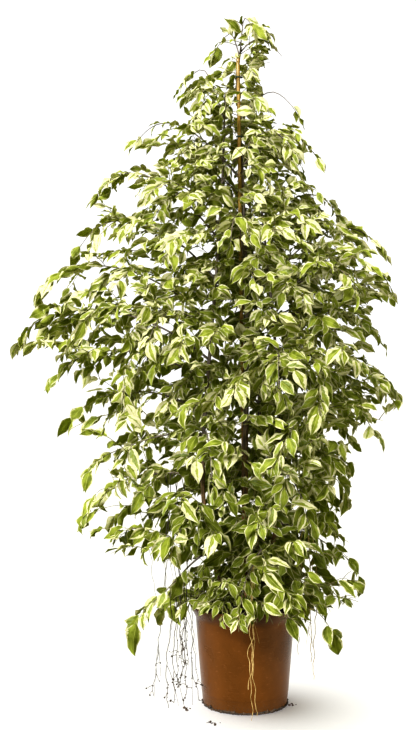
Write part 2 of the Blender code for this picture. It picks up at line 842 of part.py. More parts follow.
def make_branch(number, branch, parts, joined, space, stem_cutter, material):
    """One limb with its ribs, leaves and hanging roots, joined in one solid and seated on its stem."""
    thing = tube(f"branch_{number:02d}", branch["rings"], branch["radii"], 4, parts, material)
    boolean(thing, "DIFFERENCE", stem_cutter, "MANIFOLD")
    steps = sampled(branch["rings"])
    for i, rib in enumerate(branch["ribs"]):
        rng = random.Random(SEED + LEAF_SEED + number * 10 + i)
        anchor = steps[int(np.argmin(np.linalg.norm(steps - rib[0], axis=1)))]
        points, faces = leafy_rib(space, (number, i), rib, anchor, rng)
        mesh = bpy.data.meshes.new("rib")
        mesh.from_pydata([tuple(p) for p in points], [], faces)
        made = put("rib", mesh, joined)
        solid = made.modifiers.new("Thickness", "SOLIDIFY")
        solid.thickness = RIB_THICKNESS
        solid.offset = 0.0
        apply_modifiers(made)
    for path in branch["hanging"]:
        tube("hanging_root", path, [ROOT_RADIUS] * len(path), 4, joined)
    boolean(thing, "UNION", joined, "MANIFOLD")
    apply_modifiers(thing)
    for piece in list(joined.objects):
        bpy.data.objects.remove(piece)


def hanging_paths(index, branch, rng):
    """Roots that hang from a limb, swaying a little on their way down."""
    found = []
    limb = sampled(branch["limb"])
    away = np.hypot(limb[:, 0], limb[:, 1])
    for tip, reach, low in HANGING_ROOTS:
        if tip != index:
            continue
        start = limb[int(np.argmin(abs(away - reach)))]
        path = [start]
        for i in range(1, ROOT_BENDS + 1):
            height = start[2] + (low - start[2]) * i / ROOT_BENDS
            sway = np.array((rng.uniform(-1, 1), rng.uniform(-1, 1), 0.0)) * ROOT_SWAY
            path.append(np.array((start[0], start[1], height)) + sway)
        found.append(np.array(path))
    return found


def make_stems(stems, parts, cutters, space, material):
    """The woody stems, and for each the cutter for its hole in the soil and its branches' seats."""
    made = {}
    for name, rings in stems.items():
        stem = tube(name, rings[:, :3], rings[:, 3], STEM_SIDES, parts, material)
        smooth(stem)
        space.add_object(name, stem)
        wider = grown(rings)
        cutter = tube(name + "_cutter", wider[:, :3], wider[:, 3], STEM_SIDES, cutters)
        as_cutter(cutter)
        made[name] = cutter
    return made


def make_cane_cutter(cutters):
    """A plain hole for the cane, with room for its swellings."""
    foot = np.array(CANE_FOOT) - np.array((0.0, 0.0, GAP))
    radius = CANE_RADIUS + CANE_NODE_SWELL + 2 * GAP
    hole = tube("cane_cutter", (foot, CANE_TOP), (radius, radius), CANE_SIDES, cutters)
    as_cutter(hole)
    return hole


def mark(space, owner, points, radii, collection):
    """Keeps the room of a tube in space, and leaves no object."""
    guide = tube("guide", points, radii, 4, collection)
    space.add_object(owner, guide)
    bpy.data.objects.remove(guide)


def prepare(index, branch, space, collection):
    """Rings of a branch's woody tube and its hanging roots, with their room kept in space."""
    limb = branch["limb"]
    steps = np.linspace(0, (len(limb) - 1) * LIMB_TUBE, LIMB_RINGS).astype(int)
    root = min(LIMB_RADIUS, 0.8 * branch["root"][3])
    branch["rings"] = limb[steps]
    branch["radii"] = np.linspace(root, min(LIMB_TIP_RADIUS, root), LIMB_RINGS)
    branch["hanging"] = hanging_paths(index, branch, random.Random(SEED + ROOT_SEED + index))
    owner = f"limb_{index + 1}"
    mark(space, owner, branch["rings"], branch["radii"], collection)
    for path in branch["hanging"]:
        mark(space, owner, path, [ROOT_RADIUS] * len(path), collection)
    for i, rib in enumerate(branch["ribs"]):
        stops = [2 * STEP, *leaf_distances(rib), length_of(rib)]
        line = [along(rib, distance)[0] for distance in stops]
        mark(space, (index + 1, i), line, [RIB_HALF_WIDTH] * len(line), collection)


def main():
    clear_scene()
    parts = new_collection("weeping_fig")
    cutters = new_collection("cutters")
    joined = new_collection("joined")
    bark = finish("bark", (0.11, 0.065, 0.035), 0.8)
    leaf = finish("leaf", (0.24, 0.33, 0.07), 0.45)
    bamboo = finish("bamboo", (0.47, 0.28, 0.07), 0.45)
    plastic = finish("tie", (0.01, 0.045, 0.03), 0.4)
    stems = stem_rings()
    space = Space()
    stem_cutters = make_stems(stems, parts, cutters, space, bark)
    smooth(make_cane(parts, bamboo))
    cane_cutter = make_cane_cutter(cutters)
    space.add_object("cane", cane_cutter)
    space.add_object("pot", make_pot(parts, cutters))
    space.add_object("soil", make_soil(parts, [*stem_cutters.values(), cane_cutter]))
    for number, height in enumerate(TIE_HEIGHTS, start=1):
        space.add_object("tie", make_tie(number, height, stems, parts, joined, plastic))
    branches = lay_out(stems)
    for index, branch in enumerate(branches):
        prepare(index, branch, space, cutters)
    for number, branch in enumerate(branches, start=1):
        make_branch(number, branch, parts, joined, space, stem_cutters[branch["stem"]], leaf)
    bpy.data.collections.remove(joined)


main()
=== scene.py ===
"""Looks of the weeping fig in its pot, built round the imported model.

The stems, limbs and shoots follow the same stations and seeds as the solids. Each branch gets
its full twigs and leaves here, and the pot, soil, cane, ties and bark get their finer forms.
"""

import math
import random

import bmesh
import bpy
import numpy as np
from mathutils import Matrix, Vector, noise
from mathutils.bvhtree import BVHTree
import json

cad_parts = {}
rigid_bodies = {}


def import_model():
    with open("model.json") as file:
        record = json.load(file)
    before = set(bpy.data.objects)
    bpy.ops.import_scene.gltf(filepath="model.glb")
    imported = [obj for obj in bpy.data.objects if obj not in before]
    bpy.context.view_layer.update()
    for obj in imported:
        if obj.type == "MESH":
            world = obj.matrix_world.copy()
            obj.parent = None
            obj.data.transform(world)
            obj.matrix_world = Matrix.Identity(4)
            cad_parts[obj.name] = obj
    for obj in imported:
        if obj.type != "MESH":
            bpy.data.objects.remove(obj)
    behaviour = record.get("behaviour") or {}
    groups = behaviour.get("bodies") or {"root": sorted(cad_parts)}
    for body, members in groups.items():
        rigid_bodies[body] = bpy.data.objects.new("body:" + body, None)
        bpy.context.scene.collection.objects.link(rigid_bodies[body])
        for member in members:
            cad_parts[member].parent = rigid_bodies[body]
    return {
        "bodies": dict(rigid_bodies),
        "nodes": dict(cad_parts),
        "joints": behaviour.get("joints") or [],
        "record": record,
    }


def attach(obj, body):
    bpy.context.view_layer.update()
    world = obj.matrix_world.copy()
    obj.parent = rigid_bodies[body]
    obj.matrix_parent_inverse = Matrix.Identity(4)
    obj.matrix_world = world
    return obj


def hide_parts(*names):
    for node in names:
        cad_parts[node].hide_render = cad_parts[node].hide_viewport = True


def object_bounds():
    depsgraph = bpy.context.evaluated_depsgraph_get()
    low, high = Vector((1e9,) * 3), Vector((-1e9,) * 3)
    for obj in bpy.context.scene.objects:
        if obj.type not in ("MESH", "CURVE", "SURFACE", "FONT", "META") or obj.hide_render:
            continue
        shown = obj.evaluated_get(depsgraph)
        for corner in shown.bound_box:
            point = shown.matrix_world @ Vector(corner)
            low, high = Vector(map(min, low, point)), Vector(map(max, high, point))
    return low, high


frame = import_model()
CAD_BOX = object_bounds()

# Camera: place, and focal length in millimetres on a 36 mm long side
CAMERA = (-0.101, -2.900, 0.920)
LENS = 52.33
FOCAL_PIXELS = 1061.0
MIDDLE_PIXEL = (208.0, 365.0)

# Suns: the direction that each comes from, power, angle and colour
KEY_SUN = ((-0.92, -1.26, 1.10), 7.4, 20.0, (1.0, 0.985, 0.95))
FLOOR_SUN = ((-0.86, 0.40, 2.40), 3.05, 60.0)
# Fill light: place, target, size, power and colour
FILL_LIGHT = ((2.8, -2.4, 1.4), (0.0, 0.0, 0.7), (1.6, 2.2), 32.0, (1.0, 0.97, 0.88))
# The world as it lights things, and as the camera sees it: colour and strength
WORLD_LIGHTS = (((1.0, 0.96, 0.26, 1.0), 0.21), ((1.0, 1.0, 1.0, 1.0), 1.05))
# Lights for the pot: name, place, size and power
POT_LIGHTS = (
    ("pot_left", (-2.6, 0.2, 0.4), 1.2, 66.0),
    ("pot_right", (2.5, -0.8, 0.4), 1.2, 78.0),
)

# Pot: outer radius and height from the lip down
POT_OUTSIDE = (
    (0.1500, 0.2700), (0.1490, 0.2630), (0.1385, 0.2440), (0.1345, 0.2330), (0.1185, 0.0350),
    (0.1150, 0.0050), (0.1105, 0.0000),
)
POT_FLOOR = 0.0040
# The pot's finer form: outside with its rolled lip and its foot, then inside
FINE_OUTSIDE = (
    (0.1476, 0.2694), (0.1484, 0.2702), (0.1500, 0.2696), (0.1504, 0.2668), (0.1488, 0.2622),
    (0.1462, 0.2572), (0.1388, 0.2446), (0.1362, 0.2392), (0.1346, 0.2336), (0.1306, 0.1840),
    (0.1265, 0.1334), (0.1225, 0.0840), (0.1187, 0.0372), (0.1183, 0.0352), (0.1178, 0.0334),
    (0.1149, 0.0060), (0.1136, 0.0008), (0.1105, 0.0000), (0.1040, 0.0000), (0.1020, 0.0014),
    (0.0000, 0.0014),
)
FINE_INSIDE = (
    (0.0000, POT_FLOOR), (0.1125, POT_FLOOR), (0.1160, 0.0350), (0.1321, 0.2330), (0.1361, 0.2446),
    (0.1476, 0.2694),
)
POT_SIDES = 128
DRAIN_HOLES = 4
DRAIN_CIRCLE = 0.075
DRAIN_RADIUS = 0.007

# Soil: its radius at the top, radius and height at the foot, and its rings and sides
SOIL_RADIUS = 0.1352
SOIL_FOOT = (0.1120, POT_FLOOR + 0.0005)
SOIL_RINGS = 46
SOIL_SIDES = 132
SOIL_LEVEL = 0.243
SOIL_MOUND = 0.010
# Lumps and grit of its top: height and fineness of each
SOIL_LUMPS = (0.0042, 42.0)
SOIL_GRIT = (0.0011, 380.0)
SOIL_CRUMBS = 420
CRUMB_SIZES = (0.0012, 0.0042)
# Wet soil along the foot of the pot: crumbs, where most lie, their spread and distance
BASE_CRUMBS = 460
BASE_MIDDLE = -90
BASE_SPREAD = 62
BASE_AWAY = (0.1130, 0.1162)
# Crumbs on the floor: place and size
LOOSE_CRUMBS = (
    (-0.160, -0.066, 0.0042), (-0.095, -0.172, 0.0034), (-0.080, -0.184, 0.0034), (0.124, -0.035, 0.0030),
)

# Cane
CANE_FOOT = (0.004, -0.004, 0.060)
CANE_TOP = (-0.019, -0.004, 1.762)
CANE_RADIUS = 0.0055
CANE_TAPER = 0.0008
CANE_NODE_HEIGHTS = (0.10, 0.33, 0.57, 0.80, 1.02, 1.235, 1.44, 1.635)
# Each node of the cane: places along it, and how far it stands out there
NODE_FORM = (
    (-0.012, 0.0), (-0.006, 0.0003), (-0.0032, 0.0007), (-0.0018, 0.0001), (-0.0006, 0.0002),
    (0.0006, 0.0009), (0.0022, 0.0008), (0.0045, 0.0002), (0.010, 0.0),
)
# Ties
TIE_HEIGHTS = (1.706, 1.544)
TIE_THICKNESS = 0.0010
# Points of a tie: in each turn round the cane, along its tail and along its short end
TIE_STEPS = 48
TAIL_STEPS = 16
SHORT_END_STEPS = 9

# Stems: x, y, z and radius from the foot up
STEM_LEFT = (
    (-0.036, -0.020, 0.080, 0.0068), (-0.046, -0.024, 0.250, 0.0066), (-0.086, -0.030, 0.400, 0.0062),
    (-0.115, -0.030, 0.580, 0.0058), (-0.108, -0.020, 0.800, 0.0052), (-0.088, -0.012, 1.050, 0.0044),
    (-0.066, -0.012, 1.350, 0.0034), (-0.056, -0.014, 1.600, 0.0024),
)
STEM_RIGHT = (
    (-0.026, -0.052, 0.080, 0.0066), (-0.020, -0.054, 0.250, 0.0064), (0.012, -0.054, 0.318, 0.0062),
    (0.056, -0.046, 0.385, 0.0060), (0.088, -0.028, 0.520, 0.0056), (0.098, 0.000, 0.760, 0.0050),
    (0.076, 0.018, 1.060, 0.0040), (0.046, 0.028, 1.360, 0.0028),
)
STEM_BACK = (
    (0.016, 0.050, 0.080, 0.0066), (0.022, 0.058, 0.250, 0.0064), (0.040, 0.086, 0.500, 0.0058),
    (0.044, 0.096, 0.800, 0.0050), (0.030, 0.078, 1.100, 0.0040), (0.014, 0.056, 1.400, 0.0028),
)
STEM_CENTRE_WIND = (
    (0.080, -80.0, 0.0095), (0.600, -85.0, 0.0085), (1.150, 0.0, 0.0062), (1.500, 60.0, 0.0044),
    (1.706, 110.0, 0.0032),
)
STEM_CENTRE_CLEARANCE = 0.0010
STEM_CENTRE_TOP = (-0.010, 0.004, 1.790, 0.0022)
STEM_RINGS = 11

# Crown: leaf tips that make the outline at the left, the right and the top
LEFT_TIPS = (
    (-0.205, -0.020, 1.650), (-0.335, 0.070, 1.510), (-0.430, -0.070, 1.350), (-0.495, 0.060, 1.225),
    (-0.580, -0.080, 1.085), (-0.650, 0.010, 0.965), (-0.530, -0.130, 0.860), (-0.510, 0.110, 0.745),
    (-0.445, -0.100, 0.610), (-0.480, 0.050, 0.485), (-0.300, -0.110, 0.160),
)
RIGHT_TIPS = (
    (0.165, 0.030, 1.600), (0.225, -0.070, 1.455), (0.300, 0.080, 1.310), (0.400, -0.060, 1.200),
    (0.430, 0.060, 1.090), (0.385, -0.110, 0.960), (0.440, 0.020, 0.830), (0.330, 0.130, 0.690),
    (0.300, -0.110, 0.560), (0.345, 0.020, 0.330), (0.225, -0.135, 0.145),
)
TOP_TIPS = (
    (0.085, -0.030, 1.770), (-0.075, 0.045, 1.800), (-0.005, -0.055, 1.836),
)
DEPTH_HEIGHTS = (0.25, 0.45, 0.70, 1.00, 1.20, 1.40, 1.60, 1.80)
DEPTH_REACHES = (0.27, 0.34, 0.41, 0.46, 0.41, 0.31, 0.19, 0.06)
FRONT_TIPS = 12
BACK_TIPS = 11
FACE_LOWEST = 0.27
FACE_HIGHEST = 1.62
FACE_SPREAD = math.radians(126)
GOLDEN_RATIO = 0.6180339887

# Limbs
LIMB_BEND = 0.30
LIMB_ARCHES = (0.16, 0.26)
LIMB_RADIUS = 0.0036
LIMB_TIP_RADIUS = 0.0018
LIMB_TUBE = 0.60
LIMB_CLEARANCE = 0.013
LIMB_TRIES = 24
MOST_BACK = 0.45
ROOT_SHIFTS = (-0.02, 0.03)
LOWEST_ROOT = 0.285
ROOT_SPACING = 0.012
STEM_CHANCE = 0.11
LIFT_HEIGHTS = (0.15, 0.50, 1.10, 1.70)
LIFTS = (-0.45, -0.10, 0.28, 0.75)
STEP = 0.005
TIP_BACK = (0.085, 0.075)
LOW_TIP_BACK = (0.060, 0.135)

# Shoots that the solids have too: at the end of a limb, and at its sides, where side shoots
# begin at these shares of the limb and leave it at these angles, rising this much
END_SHOOT = 0.060
END_DROOP = 0.45
SHOOT_LENGTHS = (0.10, 0.15)
SHOOT_DROOPS = (0.50, 0.80)
LONG_LIMB = 0.36
SIDE_FIRST = 0.26
SIDE_SPAN = 0.36
SIDE_ANGLES = (42, 78)
SIDE_RISES = (0.10, 0.45)
SHOOT_TRIES = 14
RIB_CLEARANCE = 0.009

# Crown: heights, and how far its leaves reach there to the left and to the right
CROWN_HEIGHTS = (
    0.12, 0.18, 0.25, 0.29, 0.33, 0.37, 0.40, 0.42, 0.47, 0.52, 0.58, 0.63, 0.69, 0.74, 0.80, 0.85, 0.91,
    0.96, 1.02, 1.07, 1.12, 1.18, 1.23, 1.29, 1.34, 1.40, 1.45, 1.51, 1.56, 1.61, 1.67, 1.72, 1.77, 1.85,
)
CROWN_LEFT = (
    0.31, 0.31, 0.25, 0.19, 0.17, 0.16, 0.30, 0.39, 0.48, 0.46, 0.43, 0.44, 0.37, 0.48, 0.52, 0.53, 0.51,
    0.65, 0.62, 0.57, 0.50, 0.45, 0.46, 0.36, 0.43, 0.39, 0.35, 0.33, 0.23, 0.19, 0.19, 0.09, 0.07, 0.08,
)
CROWN_RIGHT = (
    0.20, 0.21, 0.22, 0.33, 0.34, 0.31, 0.29, 0.28, 0.27, 0.25, 0.28, 0.30, 0.30, 0.29, 0.42, 0.42, 0.39,
    0.37, 0.33, 0.35, 0.43, 0.38, 0.35, 0.30, 0.22, 0.20, 0.15, 0.18, 0.15, 0.05, 0.05, 0.04, 0.09, 0.09,
)
CROWN_SPARE = 0.98
DEPTH_SPARE = 0.028
# On the limbs that the solids have, leaves from here outwards needn't keep to the outline
FREE_SHARE = 0.88
# Further out than this, a share of the leaves is left out
SPARSE_SHARE = 1.10
SPARSE_LEFT_OUT = 0.45
# How much further out than its root a leaf may reach there, as a share of the outline's reach:
# on the low limb, near the end of a limb, and else
LOW_LIMB_SPARE = 0.60
END_SPARE = 0.25
LIMB_SPARE = 0.10
# Lowest point of a leaf, and how far leaves reach over the top
LOWEST_LEAF = 0.01
HEIGHT_SPARE = 0.012
# The limb at the left of the pot gets no more shoots along it
BARE_LIMB = 10
# Its leaves are all kept: the height below which, and the place to the left of which
LOW_LIMB = (0.40, -0.16)
# The last part of each limb, where leaves are kept too
LEAFY_END = 0.030
# Where leaves are few: heights, places to the right, and the share that is left out
THIN_PLACES = (
    (0.38, 0.92, -0.70, -0.17, 0.30), (0.22, 0.47, 0.13, 0.36, 0.60), (1.615, 1.70, 0.05, 0.30, 0.55),
    (1.71, 1.76, -0.30, -0.09, 0.75),
)
# No leaf hangs lower than this before the pot: places to the right, and heights
LOWEST_BEFORE_POT = (
    (-0.17, -0.16, -0.10, -0.08, 0.02, 0.04, 0.12, 0.14, 0.17),
    (0.0, 0.195, 0.195, 0.238, 0.240, 0.276, 0.276, 0.10, 0.0),
)

# Shoots that only the looks have: pitch along a limb and along a stem, then those that fill
# the crown: tries, how far each reaches, and how near the next leafy wood may be
MORE_PITCH = 0.032
STEM_PITCH = 0.023
PITCH_SPREAD = (0.8, 1.2)
FILL_TRIES = 5200
FILL_REACH = (0.045, 0.150)
FILL_SPACING = 0.050
MORE_CLEARANCE = 0.0035
THICK_CLEARANCE = 0.012
# Side of the cells that twigs are sorted into
TWIG_CELL = 0.010
SHOOT_RADIUS = 0.0011
# Along a limb: where they begin, how far apart they root, their angles, rises, lengths by the
# share of the limb, and droops
MORE_FIRST = 0.07
MORE_LAST = 0.015
ROOTS_APART = 0.012
MORE_ANGLES = (25, 80)
MORE_RISES = (-0.45, 1.15)
MORE_LENGTHS = ((0.1, 0.5, 1.0), (0.10, 0.13, 0.06))
MORE_DROOPS = (0.20, 0.65)
# Along a stem: where they begin, and their rises, lengths and droops
STEM_FIRST = 0.20
STEM_RISES = (0.1, 0.9)
STEM_LENGTHS = (0.06, 0.13)
STEM_DROOPS = (0.3, 0.8)
# Through the crown: lowest and highest place aimed at, those over the soil that are left out,
# and the droops
FILL_HEIGHTS = (0.26, 1.83)
OVER_SOIL = (0.17, 0.30)
FILL_DROOPS = (0.15, 0.5)
# Where more shoots may start: beyond the first part of a limb, and above the foot of a stem.
# The outer part of a limb bears leaves.
BARE_START = 0.12
LEAFY_START = 0.6
STEM_START = 0.27
# Fewest points of a side shoot that are kept where it reaches past the outline
SHORTEST_PART = 9
# The pitch's share by height and by reach: the crown's foot, top and inside are dense, and its
# left is sparse
DENSE_HEIGHTS = (0.32, 0.44, 0.95, 1.05, 1.35, 1.60)
DENSE_SHARES = (0.70, 1.00, 1.00, 0.95, 0.86, 0.70)
SPARSE_FROM = 0.38
LEFT_PITCHES = ((0.40, 0.62, 1.00), (0.90, 1.40, 1.90))
RIGHT_PITCHES = ((0.50, 0.80, 1.00), (0.90, 1.00, 1.15))

# Above this height leaves stand closer, at this share of their pitch
CLOSE_LEAVES = (1.69, 0.75)
# Leaves: their length by height, and the share of it by reach
LEAF_HEIGHTS = (0.25, 0.50, 0.90, 1.50, 1.80)
LEAF_LENGTHS = (0.084, 0.068, 0.054, 0.048, 0.052)
LEAF_LONG = LEAF_LENGTHS[0]
REACH_SIZES = ((0.06, 0.24, 0.50), (1.06, 0.92, 1.20))
# Small leaves over the left of the soil: height below which, left, right and share
LOW_CORE = (0.42, -0.17, 0.00, 0.62)
# Cream by height in the crown: the usual share of a blade, and how many have far more
CREAM_HEIGHTS = (0.00, 0.16, 0.28, 0.60, 1.00)
CREAM_SHARES = (0.08, 0.11, 0.18, 0.20, 0.27)
CREAM_CHANCES = (0.10, 0.17, 0.31, 0.38, 0.58)
# How far blades hang by height, at least and at most; how far they lean out, up and aside
HANG_HEIGHTS = (0.4, 1.2)
LEAST_HANGS = (0.05, -0.20)
MOST_HANGS = (1.05, 0.42)
FACE_OUT = (0.0, 0.9)
FACE_UP = (0.4, 1.2)
ASIDE_CHANCE = 0.35
FAR_ASIDE = 1.3
ASIDE_SPREAD = 0.4
TWIST_SPREAD = 0.65
# Ranges of a blade's size and form
LENGTH_SPREAD = (0.60, 1.18)
WIDTH_SPREAD = (0.86, 1.14)
BENDS = (0.15, 1.0)
TIP_BENDS = (-0.1, 0.6)
FOLDS = (0.10, 0.75)
WAVE_COUNTS = (1.3, 2.6)
WAVES = (0.08, 0.42)
SWAY_SPREAD = 0.03
LEAF_WIDTH = 0.53
LEAF_PITCH = 0.0175
LEAF_TRIES = 10
PETIOLE_LENGTHS = (0.009, 0.016)
PETIOLE_RADIUS = 0.00055
BLADE_THICKNESS = 0.0004
MIDRIB_THICKNESS = 0.0009
# Rows of the blade: share of its length, and of its half width
BLADE_ROWS = (
    (0.05, 0.36), (0.18, 0.80), (0.35, 1.00), (0.53, 0.93), (0.71, 0.62), (0.87, 0.20),
)
BLADE_COLUMNS = (-1.0, -0.5, 0.0, 0.5, 1.0)

# Windows in the leaves through which the photograph shows cane or bark, in its pixels:
# left, right, top and bottom, and the share of the leaves before it that is left out
WINDOWS = (
    (233, 242, 60, 100, 0.88), (234, 243, 100, 196, 0.85), (235, 244, 196, 255, 0.70),
    (238, 250, 425, 472, 0.70), (199, 207, 463, 510, 0.70),
)

# Hanging roots: the tip whose limb bears them, reach from the pot's axis, lowest height
HANGING_ROOTS = (
    (10, 0.170, 0.012), (10, 0.184, 0.070), (10, 0.198, 0.020), (10, 0.214, 0.008), (25, 0.170, 0.016),
    (25, 0.186, 0.090), (20, 0.172, 0.110), (20, 0.196, 0.060),
)
# Finer ones: as above, then how far each drifts to the right, how much it sways, and its radius
FINE_ROOTS = (
    (10, 0.168, 0.060, 0.020, 0.014, 0.0011), (10, 0.192, 0.130, 0.010, 0.012, 0.0010),
    (25, 0.176, 0.008, -0.010, 0.008, 0.0012), (20, 0.160, 0.130, -0.020, 0.008, 0.0011),
    (20, 0.184, 0.150, 0.000, 0.006, 0.0010), (9, 0.160, 0.110, -0.004, 0.008, 0.0012),
    (9, 0.172, 0.012, 0.030, 0.012, 0.0012), (9, 0.182, 0.045, 0.000, 0.010, 0.0013),
    (9, 0.192, 0.075, 0.012, 0.010, 0.0011), (9, 0.204, 0.020, -0.046, 0.008, 0.0013),
    (9, 0.218, 0.200, 0.020, 0.010, 0.0010), (9, 0.300, 0.270, 0.060, 0.010, 0.0008),
)
ROOT_RADIUS = 0.0014
GREY_ROOTS = (9, 10)
# Points along a root, and those among them where forks and the tangle at its end start
ROOT_STEPS = 44
FORK_STEPS = (14, 38)
TANGLE_STEPS = (36, 44)
TANGLE_CRUMB_STEPS = (34, 44)
ROOT_BENDS = 4
ROOT_SWAY = 0.006
ROOT_WAVE = 0.062
ROOT_WAVE_HEIGHT = 0.0024

# Seeds, as in the solids: of the limbs, and what is added for roots, shoots and leaves
SEED = 7
ROOT_SEED = 300
SHOOT_SEED = 500
LEAF_SEED = 1000
# What is added for the crumbs, for how roots wave and fork, and for the shoots of the looks
CRUMB_SEED = 5
ROOT_WAVE_SEED = 40
MORE_SEED = 60

UP = np.array((0.0, 0.0, 1.0))


def unit(vector):
    return vector / max(float(np.linalg.norm(vector)), 1e-9)


def polar(away, turn, height):
    """A place by its distance from the Z axis, its turn round it and its height."""
    return np.array((away * math.cos(turn), away * math.sin(turn), height))


def scatter(rng, spread):
    return np.array([rng.gauss(0, spread) for _ in range(3)])


def through(stations, count):
    """Evenly stepped points of a smooth curve through the stations."""
    knots = np.array(stations, float)
    ends = np.vstack([2 * knots[0] - knots[1], knots, 2 * knots[-1] - knots[-2]])
    found = []
    for step in np.linspace(0, len(knots) - 1, count):
        i = min(int(step), len(knots) - 2)
        u = step - i
        a, b, c, d = ends[i : i + 4]
        bend = 2 * a - 5 * b + 4 * c - d
        found.append(b + 0.5 * ((c - a) * u + bend * u**2 + (3 * b - a - 3 * c + d) * u**3))
    return np.array(found)


def cane_at(height):
    foot = np.array(CANE_FOOT)
    top = np.array(CANE_TOP)
    return foot + (top - foot) * (height - foot[2]) / (top[2] - foot[2])


def centre_stations():
    """Stations of the centre stem, wound round the cane up to its top."""
    heights, degrees, radii = zip(*STEM_CENTRE_WIND)
    found = []
    for height in np.linspace(heights[0], heights[-1], STEM_RINGS - 1):
        turn = math.radians(np.interp(height, heights, degrees))
        radius = np.interp(height, heights, radii)
        away = CANE_RADIUS + radius + STEM_CENTRE_CLEARANCE
        found.append((*(cane_at(height) + polar(away, turn, 0.0)), radius))
    return (*found, STEM_CENTRE_TOP)


def stem_rings():
    """Ring centres and radii of each stem."""
    return {
        "stem_centre": np.array(centre_stations()),
        "stem_left": through(STEM_LEFT, STEM_RINGS),
        "stem_right": through(STEM_RIGHT, STEM_RINGS),
        "stem_back": through(STEM_BACK, STEM_RINGS - 2),
    }


def ring_at(rings, height):
    """Centre and radius of a stem at a height."""
    return np.array([np.interp(height, rings[:, 2], rings[:, i]) for i in range(4)])


def face_tips(count, middle, shift):
    """Leaf tips over the front or the back, a golden step round for each step up."""
    found = []
    for i in range(count):
        height = FACE_LOWEST + (FACE_HIGHEST - FACE_LOWEST) * ((i + shift) / count) ** 1.1
        turn = middle + FACE_SPREAD * (math.modf(i * GOLDEN_RATIO + shift)[0] - 0.5)
        found.append(polar(float(np.interp(height, DEPTH_HEIGHTS, DEPTH_REACHES)), turn, height))
    return found


def all_tips():
    front = face_tips(FRONT_TIPS, math.radians(-90), 0.5)
    back = face_tips(BACK_TIPS, math.radians(90), 0.3)
    return [*LEFT_TIPS, *RIGHT_TIPS, *TOP_TIPS, *front, *back]


def limb_curve(root, tip, arch):
    """Evenly stepped points of a limb that rises from its root, arches and droops."""
    flat = np.array((tip[0] - root[0], tip[1] - root[1], 0.0))
    reach = float(np.linalg.norm(flat))
    first = root + flat * LIMB_BEND + UP * (LIMB_BEND * (tip[2] - root[2]) + arch * reach)
    second = tip - flat * LIMB_BEND + UP * 0.75 * arch * reach
    t = np.linspace(0, 1, 81)[:, None]
    s = 1 - t
    return s**3 * root + 3 * s * s * t * first + 3 * s * t * t * second + t**3 * tip


def walked_along(points):
    steps = np.linalg.norm(np.diff(points, axis=0), axis=1)
    return np.concatenate([[0.0], np.cumsum(steps)])


def along(points, distance):
    """Point and direction at a distance along a line of points."""
    walked = walked_along(points)
    place = np.array([np.interp(distance, walked, points[:, i]) for i in range(3)])
    i = min(int(np.searchsorted(walked, distance, side="right")) - 1, len(points) - 2)
    return place, unit(points[max(i, 0) + 1] - points[max(i, 0)])


def length_of(points):
    return float(np.linalg.norm(np.diff(points, axis=0), axis=1).sum())


def stepped(points, distances):
    """Points at distances along a line of points."""
    walked = walked_along(points)
    return np.array([np.interp(distances, walked, points[:, i]) for i in range(points.shape[1])]).T


def sampled(points):
    count = max(int(length_of(points) / STEP), 2)
    return stepped(points, np.linspace(0, length_of(points), count))


def nearest(points, others):
    away = points[:, None, :] - others[None, :, :]
    return float(np.sqrt((away**2).sum(axis=2).min()))


def rib_curve(start, heading, length, droop):
    """Evenly stepped points of a shoot that leaves along its heading and bends down."""
    steps = np.linspace(0, 1, 25)[:, None]
    return start + length * (steps * heading - UP * droop * steps**2)


def density_at(place):
    """Share of the usual pitch between shoots at a place in the crown."""
    shares = LEFT_PITCHES if place[0] < 0 and place[2] > SPARSE_FROM else RIGHT_PITCHES
    return float(np.interp(place[2], DENSE_HEIGHTS, DENSE_SHARES) * np.interp(crown_share(place), *shares))


def size_at(place):
    """Leaf length at a place in the crown: small over the left of the soil."""
    length = float(np.interp(place[2], LEAF_HEIGHTS, LEAF_LENGTHS))
    low = place[2] < LOW_CORE[0] and LOW_CORE[1] < place[0] < LOW_CORE[2]
    return length * (LOW_CORE[3] if low else 1.0)


def tip_shoot(limb):
    """Points of the shoot that droops beyond the end of a limb."""
    place, ahead = along(limb, length_of(limb))
    return rib_curve(place, ahead, END_SHOOT, END_DROOP)[1:]


def with_end(limb):
    return np.vstack([limb, tip_shoot(limb)])


def level_heading(ahead, turn):
    """The level direction at an angle to another one."""
    level = unit(np.array((ahead[0], ahead[1], 0.0)))
    across = np.array((-level[1], level[0], 0.0))
    return level * math.cos(turn) + across * math.sin(turn)


def root_on(stems, roots, out, height, rng):
    """The stem that suits a limb best, and a free place on it at about a height."""
    scores = {}
    for name, rings in stems.items():
        above = max(height - rings[-1, 2] + ROOT_SPACING, 0.0)
        place = ring_at(rings, max(height - above, LOWEST_ROOT))
        scores[name] = float(place[:2] @ out[:2]) - 2.0 * above + rng.uniform(0.0, STEM_CHANCE)
    name = max(scores, key=scores.get)
    height = max(min(height, stems[name][-1, 2] - ROOT_SPACING), LOWEST_ROOT)
    while any(abs(height - other) < ROOT_SPACING for other in roots[name]):
        height -= ROOT_SPACING / 4
    return name, ring_at(stems[name], height)


